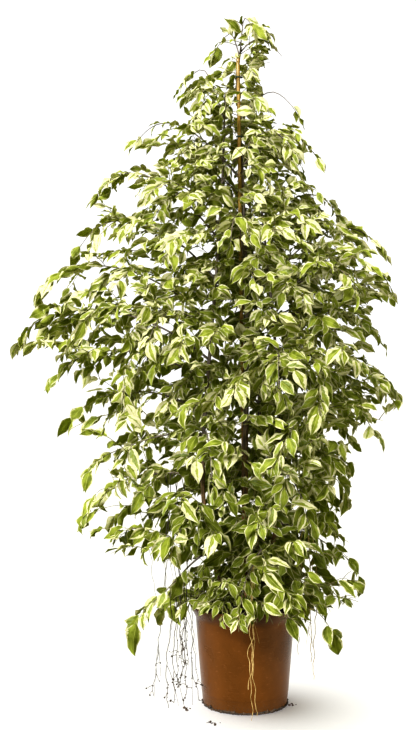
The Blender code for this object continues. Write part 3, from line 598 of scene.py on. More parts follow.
def limb_for(tip, stems, roots, taken, limbs, rng):
    """The clearest of several limbs for a leaf tip: its root, points and samples."""
    tip = np.array(tip)
    span = float(np.hypot(tip[0], tip[1]))
    out = np.array((tip[0], tip[1], 0.0)) / span
    back, up = LOW_TIP_BACK if tip[2] < POT_OUTSIDE[0][1] else TIP_BACK
    scale = min(1.0, MOST_BACK * span / back)
    end = tip + (np.array((0.0, 0.0, up)) - out * back) * scale
    lift = float(np.interp(tip[2], LIFT_HEIGHTS, LIFTS))
    best = None
    for attempt in range(LIMB_TRIES):
        shift = rng.uniform(*ROOT_SHIFTS) * (1 + attempt / 6)
        name, place = root_on(stems, roots, out, end[2] - lift * (span - back * scale) + shift, rng)
        limb = limb_curve(place[:3], end, rng.uniform(*LIMB_ARCHES))
        body = sampled(with_end(limb))
        away = min(nearest(body[5:], taken), nearest(body[1:], limbs))
        if best is None or away > best[0]:
            best = (away, name, place, limb, body)
        if away > LIMB_CLEARANCE:
            break
    roots[best[1]].append(float(best[2][2]))
    return best[2:]


def side_shoots(limb, taken, rng, count):
    """Side shoots of a limb, left and right in turn, each clear of all that is there."""
    whole = length_of(limb)
    found = []
    side = rng.choice((-1, 1))
    for i in range(count):
        start, ahead = along(limb, whole * (SIDE_FIRST + SIDE_SPAN * (i + 0.5) / count))
        for attempt in range(SHOOT_TRIES):
            turn = side * math.radians(rng.uniform(*SIDE_ANGLES)) + rng.uniform(-0.12, 0.12) * attempt
            heading = unit(level_heading(ahead, turn) + UP * rng.uniform(*SIDE_RISES))
            length = rng.uniform(*SHOOT_LENGTHS) * (1 - 0.03 * attempt)
            rib = rib_curve(start, heading, length, rng.uniform(*SHOOT_DROOPS))
            body = sampled(rib)
            if nearest(body[3:], taken) > RIB_CLEARANCE:
                found.append(rib)
                taken = np.vstack([taken, body])
                break
        side = -side
    return found, taken


def pot_outline():
    """Points all over the pot's outside."""
    rings = sampled(np.array([(r, 0.0, z) for r, z in POT_OUTSIDE]))
    turns = np.linspace(0, math.tau, 200)[:, None]
    away = rings[:, 0]
    heights = np.broadcast_to(rings[:, 2], (len(turns), len(rings)))
    return np.stack([away * np.cos(turns), away * np.sin(turns), heights], axis=2).reshape(-1, 3)


def thick_lines(stems):
    """Points along the stems and the cane."""
    lines = [sampled(rings[:, :3]) for rings in stems.values()]
    lines.append(sampled(np.array((CANE_FOOT, CANE_TOP))))
    return np.vstack(lines)


def lay_out(stems):
    """Every branch that the solids have: its limb, and the shoots along it and at its end."""
    taken = np.vstack([thick_lines(stems), pot_outline()])
    roots = {name: [] for name in stems}
    limbs = np.full((1, 3), 9.0)
    branches = []
    for index, tip in enumerate(all_tips()):
        place, limb, body = limb_for(tip, stems, roots, taken, limbs, random.Random(SEED + index))
        limbs = np.vstack([limbs, body[1:]])
        branches.append({"root": place, "limb": limb})
    taken = np.vstack([taken, limbs])
    for index, branch in enumerate(branches):
        rng = random.Random(SEED + SHOOT_SEED + index)
        count = 2 if length_of(branch["limb"]) > LONG_LIMB else 1
        branch["shoots"], taken = side_shoots(branch["limb"], taken, rng, count)
    for branch in branches:
        branch["shoots"] = [kept_part(rib) for rib in branch["shoots"]]
        branch["solid_shoots"] = len(branch["shoots"])
    return branches


class Room:
    """Points in cells, to keep lines of points clear of each other quickly."""

    def __init__(self, size):
        self.size = size
        self.cells = {}

    def cell(self, place):
        return tuple(int(math.floor(value / self.size)) for value in place)

    def add(self, points):
        for place in points.tolist():
            self.cells.setdefault(self.cell(place), []).append(place)

    def is_clear(self, points, away):
        for place in points.tolist():
            x, y, z = self.cell(place)
            for i in (x - 1, x, x + 1):
                for j in (y - 1, y, y + 1):
                    for k in (z - 1, z, z + 1):
                        for other in self.cells.get((i, j, k), ()):
                            if math.dist(place, other) < away:
                                return False
        return True


def has_room(rib, skipped, thick, thin):
    """Whether a shoot is clear of thick wood, the pot and the twigs. If so it becomes one of them."""
    body = sampled(rib)[skipped:]
    is_clear = thick.is_clear(body, THICK_CLEARANCE) and thin.is_clear(body, MORE_CLEARANCE)
    if is_clear:
        thin.add(body)
    return is_clear


def add_shoots(branch, thick, thin, rng):
    """More side shoots along a limb, clear of the wood that is there."""
    limb = branch["limb"]
    whole = length_of(limb)
    starts = [rib[0] for rib in branch["shoots"]]
    distance = MORE_FIRST + rng.uniform(0.0, 0.02)
    side = rng.choice((-1, 1))
    while distance < whole - MORE_LAST:
        start, ahead = along(limb, distance)
        full = np.interp(distance / whole, *MORE_LENGTHS)
        distance += MORE_PITCH * density_at(start) * rng.uniform(*PITCH_SPREAD)
        side = -side
        if any(np.linalg.norm(start - other) < ROOTS_APART for other in starts):
            continue
        for attempt in range(SHOOT_TRIES):
            turn = side * math.radians(rng.uniform(*MORE_ANGLES))
            heading = unit(level_heading(ahead, turn) + UP * rng.uniform(*MORE_RISES))
            length = full * rng.uniform(0.75, 1.2) * (1 - 0.06 * attempt)
            rib = rib_curve(start, heading, length, rng.uniform(*MORE_DROOPS))
            if crown_share(rib[-1]) <= 1.0 and has_room(rib, 3, thick, thin):
                branch["shoots"].append(rib)
                break


def stem_shoots(rings, thick, thin, rng):
    """Short leafy shoots all round a stem."""
    line = rings[:, :3]
    whole = length_of(line)
    found = []
    distance = STEM_FIRST
    turn = rng.uniform(0, math.tau)
    while distance < whole - 0.01:
        start, _ = along(line, distance)
        distance += STEM_PITCH * density_at(start) * rng.uniform(*PITCH_SPREAD)
        turn += math.tau * GOLDEN_RATIO
        for _ in range(SHOOT_TRIES):
            heading = unit(polar(1.0, turn + rng.uniform(-0.5, 0.5), rng.uniform(*STEM_RISES)))
            rib = rib_curve(start, heading, rng.uniform(*STEM_LENGTHS), rng.uniform(*STEM_DROOPS))
            if crown_share(rib[-1]) <= 1.0 and has_room(rib, 4, thick, thin):
                found.append(rib)
                break
    return found


def crown_reach(height, at_left):
    """How far the crown reaches at a height: to one side, and in depth."""
    across = float(np.interp(height, CROWN_HEIGHTS, CROWN_LEFT if at_left else CROWN_RIGHT))
    return across, float(np.interp(height, DEPTH_HEIGHTS, DEPTH_REACHES))


def crown_share(place):
    """How far out a place lies in the crown: 0 on its axis and 1 at its outline."""
    across, depth = crown_reach(place[2], place[0] < 0)
    return math.hypot(place[0] / across, place[1] / max(depth, 0.5 * across))


def crown_place(rng):
    """A place in the crown, seldom deep inside it."""
    height = rng.uniform(*FILL_HEIGHTS)
    turn = rng.uniform(0, math.tau)
    away = math.sqrt(rng.uniform(0.06, 1.0))
    across, depth = crown_reach(height, math.cos(turn) < 0)
    return np.array((math.cos(turn) * across * away, math.sin(turn) * depth * away, height))


class Wood:
    """Points of the wood that shoots may start from, whose they are, and those that bear leaves."""

    def __init__(self, room=40000):
        self.points = np.zeros((room, 3))
        self.leafy = np.zeros((room, 3))
        self.owners = []
        self.leafy_count = 0

    def note(self, points, owner, bears):
        count = len(self.owners)
        self.points[count : count + len(points)] = points
        self.owners.extend([owner] * len(points))
        if bears:
            self.leafy[self.leafy_count : self.leafy_count + len(points)] = points
            self.leafy_count += len(points)

    def ways_to(self, place):
        return place - self.points[: len(self.owners)]

    def nearest_leafy(self, place):
        return np.linalg.norm(self.leafy[: self.leafy_count] - place, axis=1).min()


def wood_of(branches, stems, stem_ribs):
    """The wood of the branches and stems, with their shoots."""
    wood = Wood()
    for index, branch in enumerate(branches):
        limb = sampled(branch["limb"])
        if index != BARE_LIMB:
            wood.note(limb[int(BARE_START * len(limb)) :: 2], index, False)
        end = sampled(np.vstack([limb[int(LEAFY_START * len(limb)) :], tip_shoot(branch["limb"])]))
        wood.note(end[::2], index, True)
        for rib in branch["shoots"]:
            wood.note(sampled(rib)[1::2], index, True)
    for name, rings in stems.items():
        line = sampled(rings[:, :3])
        wood.note(line[line[:, 2] > STEM_START], name, False)
        for rib in stem_ribs[name]:
            wood.note(sampled(rib)[1::2], name, True)
    return wood


def fill_crown(branches, stems, stem_ribs, thick, thin, rng):
    """Shoots towards the places of the crown that have no leafy wood yet."""
    wood = wood_of(branches, stems, stem_ribs)
    for _ in range(FILL_TRIES):
        place = crown_place(rng)
        if math.hypot(place[0], place[1]) < OVER_SOIL[0] and place[2] < OVER_SOIL[1]:
            continue
        if wood.nearest_leafy(place) < FILL_SPACING * density_at(place):
            continue
        way = wood.ways_to(place)
        away = np.linalg.norm(way, axis=1)
        near = ((away > FILL_REACH[0]) & (away < FILL_REACH[1])).nonzero()[0]
        if not len(near):
            continue
        out = unit(np.array((place[0], place[1], 0.05)))
        cost = away[near] - 0.07 * (way[near] @ out) / away[near]
        for i in near[np.argsort(cost)[:6]]:
            droop = rng.uniform(*FILL_DROOPS)
            length = float(away[i]) * 1.04
            rib = rib_curve(wood.points[i], unit(way[i] + UP * droop * length), length, droop)
            if has_room(rib, 3, thick, thin):
                owner = wood.owners[i]
                (stem_ribs[owner] if isinstance(owner, str) else branches[owner]["shoots"]).append(rib)
                wood.note(sampled(rib)[1::2], owner, True)
                break


def new_object(name, data):
    made = bpy.data.objects.new(name, data)
    bpy.context.scene.collection.objects.link(made)
    return made


class Space:
    """The surfaces that leaves keep clear of."""

    def __init__(self, room=20000):
        self.trees = []
        self.lows = np.zeros((room, 3))
        self.highs = np.zeros((room, 3))

    def add(self, points, faces):
        points = np.array(points, float)
        self.lows[len(self.trees)] = points.min(axis=0)
        self.highs[len(self.trees)] = points.max(axis=0)
        self.trees.append(BVHTree.FromPolygons(points.tolist(), faces))

    def is_clear(self, points, faces):
        count = len(self.trees)
        meets = (self.lows[:count] <= points.max(axis=0)) & (self.highs[:count] >= points.min(axis=0))
        near = meets.all(axis=1).nonzero()[0]
        if not len(near):
            return True
        tree = BVHTree.FromPolygons(points.tolist(), faces)
        return not any(tree.overlap(self.trees[i]) for i in near)


class Shape:
    """A mesh in the making: points, faces and a UV for each corner in each layer."""

    def __init__(self, *layers):
        self.points = []
        self.count = 0
        self.corners = []
        self.sizes = []
        self.uvs = {layer: [] for layer in layers}

    def add(self, points, corners, sizes, **uvs):
        self.points.append(np.asarray(points, float))
        self.corners.append(np.asarray(corners) + self.count)
        self.sizes.append(np.asarray(sizes))
        self.count += len(points)
        for layer, values in uvs.items():
            self.uvs[layer].append(np.asarray(values, float))

    def build(self, name, material, sharp=100.0):
        points = np.vstack(self.points)
        corners = np.concatenate(self.corners)
        sizes = np.concatenate(self.sizes)
        mesh = bpy.data.meshes.new(name)
        mesh.vertices.add(len(points))
        mesh.vertices.foreach_set("co", points.astype(np.float32).ravel())
        mesh.loops.add(len(corners))
        mesh.loops.foreach_set("vertex_index", corners.astype(np.int32))
        mesh.polygons.add(len(sizes))
        starts = np.concatenate([[0], np.cumsum(sizes)[:-1]])
        mesh.polygons.foreach_set("loop_start", starts.astype(np.int32))
        mesh.update(calc_edges=True)
        for layer, values in self.uvs.items():
            made = mesh.uv_layers.new(name=layer)
            made.data.foreach_set("uv", np.vstack(values).astype(np.float32).ravel())
        mesh.shade_smooth()
        mesh.set_sharp_from_angle(angle=math.radians(sharp))
        mesh.materials.append(material)
        return new_object(name, mesh)


def tube_parts(line, radii, sides):
    """Points, corners, face sizes and (around, along) in metres of a closed tube."""
    line = np.asarray(line, float)
    radii = np.broadcast_to(np.asarray(radii, float), len(line))
    ahead = np.gradient(line, axis=0)
    ahead /= np.maximum(np.linalg.norm(ahead, axis=1), 1e-9)[:, None]
    first = unit(np.cross(ahead[0], (0.31, 0.95, 0.08)))
    ups = []
    for way in ahead:
        first = unit(first - way * float(first @ way))
        ups.append(first)
    ups = np.array(ups)
    lefts = np.cross(ahead, ups)
    turns = np.linspace(0, math.tau, sides, endpoint=False)
    ring = np.cos(turns)[None, :, None] * ups[:, None] + np.sin(turns)[None, :, None] * lefts[:, None]
    points = (line[:, None] + ring * radii[:, None, None]).reshape(-1, 3)
    rows = len(line)
    i, k = (grid.ravel() for grid in np.meshgrid(np.arange(rows - 1), np.arange(sides), indexing="ij"))
    after = (k + 1) % sides
    quads = np.stack([i * sides + k, i * sides + after, (i + 1) * sides + after, (i + 1) * sides + k], axis=1)
    walked = walked_along(line)
    width = math.tau * float(radii.mean()) / sides
    around = np.stack([k, k + 1, k + 1, k], axis=1) * width
    up = np.stack([walked[i], walked[i], walked[i + 1], walked[i + 1]], axis=1)
    ends = np.concatenate([np.arange(sides)[::-1], (rows - 1) * sides + np.arange(sides)])
    corners = np.concatenate([quads.ravel(), ends])
    sizes = np.concatenate([np.full(len(quads), 4), [sides, sides]])
    side_uv = np.stack([around.ravel(), up.ravel()], axis=1)
    end_uv = np.concatenate([np.full((sides, 2), (0.0, 0.0)), np.full((sides, 2), (0.0, walked[-1]))])
    return points, corners, sizes, np.vstack([side_uv, end_uv])


def add_tube(shape, line, radii, sides, age, seed, end_age=None):
    """A bark tube: age 0 is a green shoot and 1 is old wood."""
    points, corners, sizes, uv = tube_parts(line, radii, sides)
    look = np.full((len(corners), 2), (age, seed))
    if end_age is not None:
        look[:, 0] = age + (end_age - age) * uv[:, 1] / uv[:, 1].max()
    shape.add(points, corners, sizes, bark=uv, look=look)


ROW_SHARES = np.array([0.0] + [row[0] for row in BLADE_ROWS] + [1.0])
ROW_WIDTHS = np.array([row[1] for row in BLADE_ROWS])
COLUMNS = np.array(BLADE_COLUMNS)


def blade_points(leaf):
    """Points of the upper side: base, rows and tip. Also each row's normal."""
    length = leaf["length"]
    ahead, wide, face = leaf["frame"]
    bend = leaf["bend"] * ROW_SHARES + leaf["tip_bend"] * np.clip((ROW_SHARES - 0.7) / 0.3, 0, 1) ** 2
    steps = np.diff(ROW_SHARES) * length
    middle = (bend[1:] + bend[:-1]) / 2
    forward = np.concatenate([[0.0], np.cumsum(steps * np.cos(middle))])
    down = np.concatenate([[0.0], np.cumsum(steps * np.sin(middle))])
    spine = leaf["origin"] + forward[:, None] * ahead - down[:, None] * face
    normals = np.cos(bend)[:, None] * face + np.sin(bend)[:, None] * ahead
    half = length * leaf["width"] / 2 * ROW_WIDTHS
    u = COLUMNS[None, :]
    lift = half[:, None] * (np.abs(u) * math.sin(leaf["fold"]) - 0.22 * u * u)
    waves = np.sin(math.tau * (leaf["waves"] * ROW_SHARES[1:-1, None] + leaf["phase"] + 0.3 * np.sign(u)))
    lift = lift + half[:, None] * u * u * leaf["wave"] * waves
    sway = leaf["sway"] * length * np.sin(math.pi * ROW_SHARES[1:-1]) ** 2
    level = half[:, None] * u * math.cos(leaf["fold"]) + sway[:, None]
    rows = spine[1:-1, None] + level[:, :, None] * wide + lift[:, :, None] * normals[1:-1, None]
    return np.vstack([spine[:1], rows.reshape(-1, 3), spine[-1:]]), normals


def blade_topology():
    """Corners, face sizes and UVs of a blade's two sides, which share their margin."""
    columns = len(COLUMNS)
    rows = len(BLADE_ROWS)
    tip = 1 + rows * columns

    def upper(i, j):
        return 1 + i * columns + j

    inner = [upper(i, j) for i in range(rows) for j in range(1, columns - 1)]
    under = {k: tip + 1 + number for number, k in enumerate(inner)}
    faces = [(0, upper(0, j), upper(0, j + 1)) for j in range(columns - 1)]
    for i in range(rows - 1):
        for j in range(columns - 1):
            faces.append((upper(i, j), upper(i + 1, j), upper(i + 1, j + 1), upper(i, j + 1)))
    faces += [(upper(rows - 1, j), tip, upper(rows - 1, j + 1)) for j in range(columns - 1)]
    places = {0: (0.5, 0.0), tip: (0.5, 1.0)}
    for i in range(rows):
        for j in range(columns):
            places[upper(i, j)] = ((COLUMNS[j] + 1) / 2, ROW_SHARES[i + 1])
    below = [tuple(under.get(k, k) for k in reversed(face)) for face in faces]
    corners = [k for face in faces + below for k in face]
    sizes = [len(face) for face in faces + below]
    above_uv = [places[k] for face in faces for k in face]
    below_uv = [places[k] for face in faces for k in reversed(face)]
    return tuple(np.array(found) for found in (corners, sizes, above_uv, below_uv, inner))


BLADE_CORNERS, BLADE_SIZES, ABOVE_UV, BELOW_UV, INNER = blade_topology()
# A coarse blade for testing: base, shoulders, waists and tip
TEST_POINTS = (0, 1 + 2 * 5, 1 + 2 * 5 + 4, 1 + 4 * 5, 1 + 4 * 5 + 4, 1 + 6 * 5, 1 + 3 * 5 + 2)
TEST_FACES = ((0, 1, 6), (1, 3, 6), (3, 5, 6), (5, 4, 6), (4, 2, 6), (2, 0, 6))


def add_leaf(shape, leaf, cell, cells):
    """A blade with two sides and its petiole. cell is its first place in the second UV's grid."""
    points, normals = leaf["points"]
    columns = len(COLUMNS)
    rows = (INNER - 1) // columns
    u = np.abs(COLUMNS[(INNER - 1) % columns])
    thick = np.where(u < 0.1, MIDRIB_THICKNESS, BLADE_THICKNESS) * np.clip(ROW_WIDTHS[rows] * 2, 0.3, 1.0)
    below = points[INNER] - normals[rows + 1] * thick[:, None]
    grid = int(math.ceil(math.sqrt(cells)))

    def baked(uv, number):
        return (np.array((number % grid, number // grid)) + 0.04 + 0.92 * uv) / grid

    blade_uv = np.vstack([ABOVE_UV, BELOW_UV + (2.0, 0.0)])
    bake_uv = np.vstack([baked(ABOVE_UV, cell), baked(BELOW_UV, cell + 1)])
    look = np.full((len(blade_uv), 2), leaf["look"])
    points = np.vstack([points, below])
    shape.add(points, BLADE_CORNERS, BLADE_SIZES, blade=blade_uv, look=look, OFBake=bake_uv)
    radii = (PETIOLE_RADIUS * 1.25, PETIOLE_RADIUS, PETIOLE_RADIUS * 0.9)
    tube, corners, sizes, uv = tube_parts(leaf["petiole"], radii, 3)
    stalk = np.clip(uv / (0.006, 0.03), 0, 1)
    blade = np.full((len(corners), 2), (0.5, 0.0))
    look = np.full((len(corners), 2), leaf["look"])
    shape.add(tube, corners, sizes, blade=blade, look=look, OFBake=baked(stalk, cells - 1))


def seen_at(place):
    """Pixel of the photograph where a place shows."""
    depth = place[1] - CAMERA[1]
    right = MIDDLE_PIXEL[0] + FOCAL_PIXELS * (place[0] - CAMERA[0]) / depth
    down = MIDDLE_PIXEL[1] + FOCAL_PIXELS * (CAMERA[2] - place[2]) / depth
    return right, down


def hides_a_window(points, rng):
    """Whether a leaf lies before a window, and is one of those to leave out."""
    if points[:, 1].mean() > 0.01:
        return False
    right, down = zip(*(seen_at(place) for place in points[list(TEST_POINTS)]))
    for left_edge, right_edge, top, bottom, share in WINDOWS:
        meets = max(right) > left_edge and min(right) < right_edge and max(down) > top and min(down) < bottom
        if meets and rng.random() < share:
            return True
    return False


def left_out(place, far, stays, rng):
    """Whether a leaf is one of those left out where the photograph shows few."""
    if far > SPARSE_SHARE and rng.random() < SPARSE_LEFT_OUT and not stays:
        return True
    for low, high, left, right, share in THIN_PLACES:
        if low < place[2] < high and left < place[0] < right and rng.random() < share and not stays:
            return True
    return False


def leaf_frame(place, way, out, rng):
    """The ways along, across and out of a blade, which hangs and faces up and out."""
    least, most = (np.interp(place[2], HANG_HEIGHTS, hangs) for hangs in (LEAST_HANGS, MOST_HANGS))
    ahead = unit(way - UP * rng.uniform(least, most))
    is_far = rng.random() < ASIDE_CHANCE
    aside = rng.choice((-FAR_ASIDE, FAR_ASIDE)) if is_far else rng.gauss(0, ASIDE_SPREAD)
    face = unit(out * rng.uniform(*FACE_OUT) + UP * rng.uniform(*FACE_UP) + np.cross(UP, out) * aside)
    face = unit(face - ahead * float(face @ ahead))
    wide = np.cross(face, ahead)
    twist = rng.gauss(0, TWIST_SPREAD)
    cosine = math.cos(twist)
    sine = math.sin(twist)
    return ahead, wide * cosine - face * sine, face * cosine + wide * sine


def lies_inside(test, limit):
    """Whether a blade keeps to the crown, off the floor and off the part of the pot that shows."""
    low = test.min(axis=0)
    high = test.max(axis=0)
    if low[2] < LOWEST_LEAF or high[2] > CAD_BOX[1][2] + HEIGHT_SPARE:
        return False
    if low[1] < CAD_BOX[0][1] - DEPTH_SPARE or high[1] > CAD_BOX[1][1] + DEPTH_SPARE:
        return False
    if test[5, 2] < np.interp(test[5, 0], *LOWEST_BEFORE_POT):
        return False
    return max(crown_share(spot * (CROWN_SPARE, CROWN_SPARE, 1)) for spot in test[5:7]) <= limit


def leaf_cream_and_painted_light(place, far, tone, rng):
    """A blade's share of cream and its tone, by its place in the crown. The tone is partly random and partly
    painted light: blades are brighter the higher and further out they sit, so the crown's inside is painted
    shade.
    """
    height = float(np.clip((place[2] - 0.3) / 1.4, 0, 1))
    outer = float(np.interp(far, (0.25, 0.85), (0, 1)))
    # Cream grows outwards: partly real variegation, partly painted shade that keeps the crown's inside
    # greener and darker.
    share = float(np.interp(height, CREAM_HEIGHTS, CREAM_SHARES)) + 0.06 * outer + rng.gauss(0, 0.06)
    if rng.random() < np.interp(height, CREAM_HEIGHTS, CREAM_CHANCES) + 0.14 * outer:
        share += rng.uniform(0.20, 0.65)
    # Painted light: this tone picks brighter greens and creams and rises with height and reach; only its last
    # part differs at random.
    light = 0.42 * height + 0.28 * outer + 0.30 * ((tone + rng.uniform(0, 0.5)) % 1.0)
    return float(np.clip(share, 0.02, 0.98)), light


def leaf_form(origin, frame, length, shrink, rng):
    """A blade's place, size and bends."""
    return {
        "origin": origin,
        "frame": frame,
        "length": length * rng.uniform(*LENGTH_SPREAD) * shrink,
        "width": LEAF_WIDTH * rng.uniform(*WIDTH_SPREAD),
        "bend": rng.uniform(*BENDS),
        "tip_bend": rng.uniform(*TIP_BENDS),
        "fold": rng.uniform(*FOLDS),
        "waves": rng.uniform(*WAVE_COUNTS),
        "phase": rng.random(),
        "wave": rng.uniform(*WAVES),
        "sway": rng.gauss(0, SWAY_SPREAD),
    }


def leaf_at(place, heading, size, space, rng, tone, reaches_out=False, at_end=False):
    """A leaf on a petiole from a place on a shoot, clear of all that is there, or None."""
    far = crown_share(place)
    free = reaches_out and far > FREE_SHARE
    on_low_limb = free and place[2] < LOW_LIMB[0] and place[0] < LOW_LIMB[1]
    if left_out(place, far, on_low_limb or at_end, rng):
        return None
    spare = LOW_LIMB_SPARE if on_low_limb else END_SPARE if at_end else LIMB_SPARE
    limit = max(1.0, far + spare) if free else 1.0
    out = np.array((place[0], place[1], 0.0))
    full = size * np.interp(float(np.linalg.norm(out)), *REACH_SIZES)
    out = unit(out)
    for attempt in range(LEAF_TRIES):
        way = unit(heading(rng))
        stalk = rng.uniform(*PETIOLE_LENGTHS) * size / LEAF_LONG
        origin = place + unit(way + UP * rng.uniform(0.0, 0.35)) * stalk
        frame = leaf_frame(place, way, out, rng)
        leaf = leaf_form(origin, frame, full, 1 - 0.03 * attempt, rng)
        points, normals = blade_points(leaf)
        test = points[list(TEST_POINTS)]
        if not lies_inside(test, limit) or not space.is_clear(test, TEST_FACES):
            continue
        if hides_a_window(points, rng):
            return None
        space.add(test, TEST_FACES)
        leaf["look"] = leaf_cream_and_painted_light(place, far, tone, rng)
        leaf["points"] = (points, normals)
        middle = (place + origin) / 2 + UP * 0.001
        leaf["petiole"] = np.array([place, middle, origin + frame[0] * 0.0015])
        return leaf
    return None


def rib_leaves(rib, first, space, rng, tone, reaches_out=False, at_end=False):
    """Leaves on alternate sides of a shoot, and one at its end."""
    whole = length_of(rib)
    found = []
    distance = first
    side = rng.choice((-1, 1))
    while distance < whole - 0.006:
        place, ahead = along(rib, distance)
        size = size_at(place)
        across = unit(np.cross(UP, ahead))
        side = -side

        def sideways(rng, ahead=ahead, across=across, side=side):
            return across * side * rng.uniform(0.35, 0.9) + ahead * rng.uniform(0.5, 1.2)

        near_end = at_end and distance > whole - LEAFY_END
        found.append(leaf_at(place, sideways, size, space, rng, tone, reaches_out, near_end))
        pitch = LEAF_PITCH * (0.45 + 0.55 * size / LEAF_LONG) * rng.uniform(0.85, 1.15)
        distance += pitch * (CLOSE_LEAVES[1] if place[2] > CLOSE_LEAVES[0] else 1.0)
    place, ahead = along(rib, whole)

    def onward(rng):
        return ahead + scatter(rng, 0.2)

    found.append(leaf_at(place, onward, size_at(place) * 0.9, space, rng, tone, reaches_out, at_end))
    return [leaf for leaf in found if leaf]


def add_shoot(shape, rib, seed, radius=SHOOT_RADIUS):
    """The wood of a shoot with a pointed bud at its end."""
    whole = length_of(rib)
    line = stepped(rib, np.linspace(0.0, whole, 6))
    bud = line[-1] + unit(line[-1] - line[-2]) * 0.007
    line = np.vstack([line, bud])
    radii = np.concatenate([np.linspace(radius, radius * 0.55, 6), [0.0001]])
    add_tube(shape, line, radii, 4, 0.15, seed)


def finish_piece(piece, slot, *nodes):
    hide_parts(*nodes)
    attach(piece, "root")
    return piece


def grown_leaves(name, leaves, material, node):
    """One piece of all the leaves of a branch."""
    shape = Shape("blade", "look", "OFBake")
    cells = 2 * len(leaves) + 1
    for number, leaf in enumerate(leaves):
        add_leaf(shape, leaf, 2 * number, cells)
    return finish_piece(shape.build(name, material), "leaf", node)


def kept_part(rib):
    """A shoot up to the outline of the crown, or its first part where it lies beyond."""
    inside = next((i for i, place in enumerate(rib) if crown_share(place) > 1.0), len(rib))
    return rib[: max(inside, SHORTEST_PART)]


def make_branch(number, branch, space, materials):
    rng = random.Random(SEED + LEAF_SEED + number)
    tone = rng.random()
    whole = length_of(branch["limb"])
    line = with_end(branch["limb"])
    full = length_of(line)
    root = min(LIMB_RADIUS, 0.8 * branch["root"][3])
    steps = np.linspace(0, full, max(int(full / 0.016), 8))
    shares = np.array((0.0, 0.02, LIMB_TUBE, 1.0)) * whole
    radii = np.interp(steps, (*shares, full), (root * 1.25, root, LIMB_TIP_RADIUS * 0.95, 0.0012, 0.0007))
    wood = Shape("bark", "look")
    add_tube(wood, stepped(line, steps), radii, 8, 0.6, rng.random())
    for rib in branch["shoots"]:
        add_shoot(wood, rib, rng.random())
    node = f"branch_{number:02d}"
    finish_piece(wood.build(f"twigs_{number:02d}", materials["bark"]), "bark", node)
    outer = stepped(line, np.linspace(whole * 0.45, full, 30))
    leaves = rib_leaves(outer, 0.01, space, rng, tone, True, True)
    for i, rib in enumerate(branch["shoots"]):
        leaves += rib_leaves(rib, rng.uniform(0.012, 0.024), space, rng, tone, i < branch["solid_shoots"])
    grown_leaves(f"leaves_{number:02d}", leaves, materials["leaf"], node)


def make_stem(name, rings, shoots, space, materials):
    """A woody stem with its knots, and its short leafy shoots."""
    rng = random.Random(name)
    fine = through(rings, 110)
    for i, ring in enumerate(fine):
        knot = 0.10 * max(0.0, math.sin(i * 0.9) * math.sin(i * 0.37)) ** 2
        ring[3] *= 1 + knot + rng.uniform(-0.02, 0.02)
    shape = Shape("bark", "look")
    add_tube(shape, fine[:, :3], fine[:, 3], 20, 1.15, rng.random(), 0.50)
    for rib in shoots:
        add_shoot(shape, rib, rng.random())
    finish_piece(shape.build(name + "_bark", materials["bark"]), "bark", name)
    leaves = []
    for rib in shoots:
        leaves += rib_leaves(rib, rng.uniform(0.015, 0.03), space, rng, rng.random())
    grown_leaves(name + "_leaves", leaves, materials["leaf"], name)


def root_path(limb, reach, low, bends, sway, rng, drift=0.0):
    """A root that hangs from a limb, swaying and drifting to the right on its way down."""
    away = np.hypot(limb[:, 0], limb[:, 1])
    start = limb[int(np.argmin(abs(away - reach)))]
    path = [start]
    for i in range(1, bends + 1):
        height = start[2] + (low - start[2]) * i / bends
        shift = np.array((rng.uniform(-1, 1), rng.uniform(-1, 1), 0.0)) * sway
        path.append(np.array((start[0] + drift * i / bends, start[1], height)) + shift)
    return np.array(path)


def root_lines(branches):
    """The hanging roots of each branch: those that the solids have, then the finer ones."""
    found = {}
    for index, branch in enumerate(branches):
        rng = random.Random(SEED + ROOT_SEED + index)
        limb = sampled(branch["limb"])
        for tip, reach, low in HANGING_ROOTS:
            if tip == index:
                path = root_path(limb, reach, low, ROOT_BENDS, ROOT_SWAY, rng)
                found.setdefault(index, []).append((path, ROOT_RADIUS))
        for tip, reach, low, drift, sway, radius in FINE_ROOTS:
            if tip == index:
                path = root_path(limb, reach, low, 7, sway, rng, drift)
                found.setdefault(index, []).append((path, radius))
    return found


def add_rootlet(shape, start, way, length, droop, radius, age, rng):
    """A short side root. Gives the place of its end."""
    line = rib_curve(start, way, length, droop)[::3]
    line[:, 2] = np.maximum(line[:, 2], 0.003)
    add_tube(shape, line, np.linspace(radius, radius * 0.5, len(line)), 5, age, rng.random())
    return line[-1]


def wavy(path, rng):
    """A root's path with a slow wander and small waves."""
    fine = through(path, ROOT_STEPS)
    wander = np.cumsum(np.array([(rng.gauss(0, 1), rng.gauss(0, 1), 0.0) for _ in fine]), axis=0) * 0.0011
    steps = np.linspace(0, 1, len(fine))[:, None]
    turns = walked_along(fine)[:, None] / ROOT_WAVE + [rng.random(), rng.random(), 0.0]
    waves = ROOT_WAVE_HEIGHT * np.sin(math.tau * turns) * (1.0, 1.0, 0.0)
    return fine + (wander + waves) * steps**0.7


def add_tangle(shape, fine, radius, age, rng):
    """Short side roots near the end of a root, with crumbs of soil."""
    for _ in range(rng.randrange(2, 5)):
        start = fine[rng.randrange(*TANGLE_STEPS)]
        way = unit(np.array((rng.uniform(-1, 1), rng.uniform(-1, 1), rng.uniform(-0.5, 0.4))))
        end = add_rootlet(shape, start, way, rng.uniform(0.010, 0.022), 0.3, radius * 0.7, age, rng)
        for _ in range(rng.randrange(1, 4)):
            add_crumb(shape, end + scatter(rng, 0.0012), rng.uniform(0.0014, 0.0030), rng)
    for _ in range(rng.randrange(4, 9)):
        spot = fine[rng.randrange(*TANGLE_CRUMB_STEPS)] + scatter(rng, 0.0012)
        add_crumb(shape, spot, rng.uniform(0.0012, 0.0028), rng)


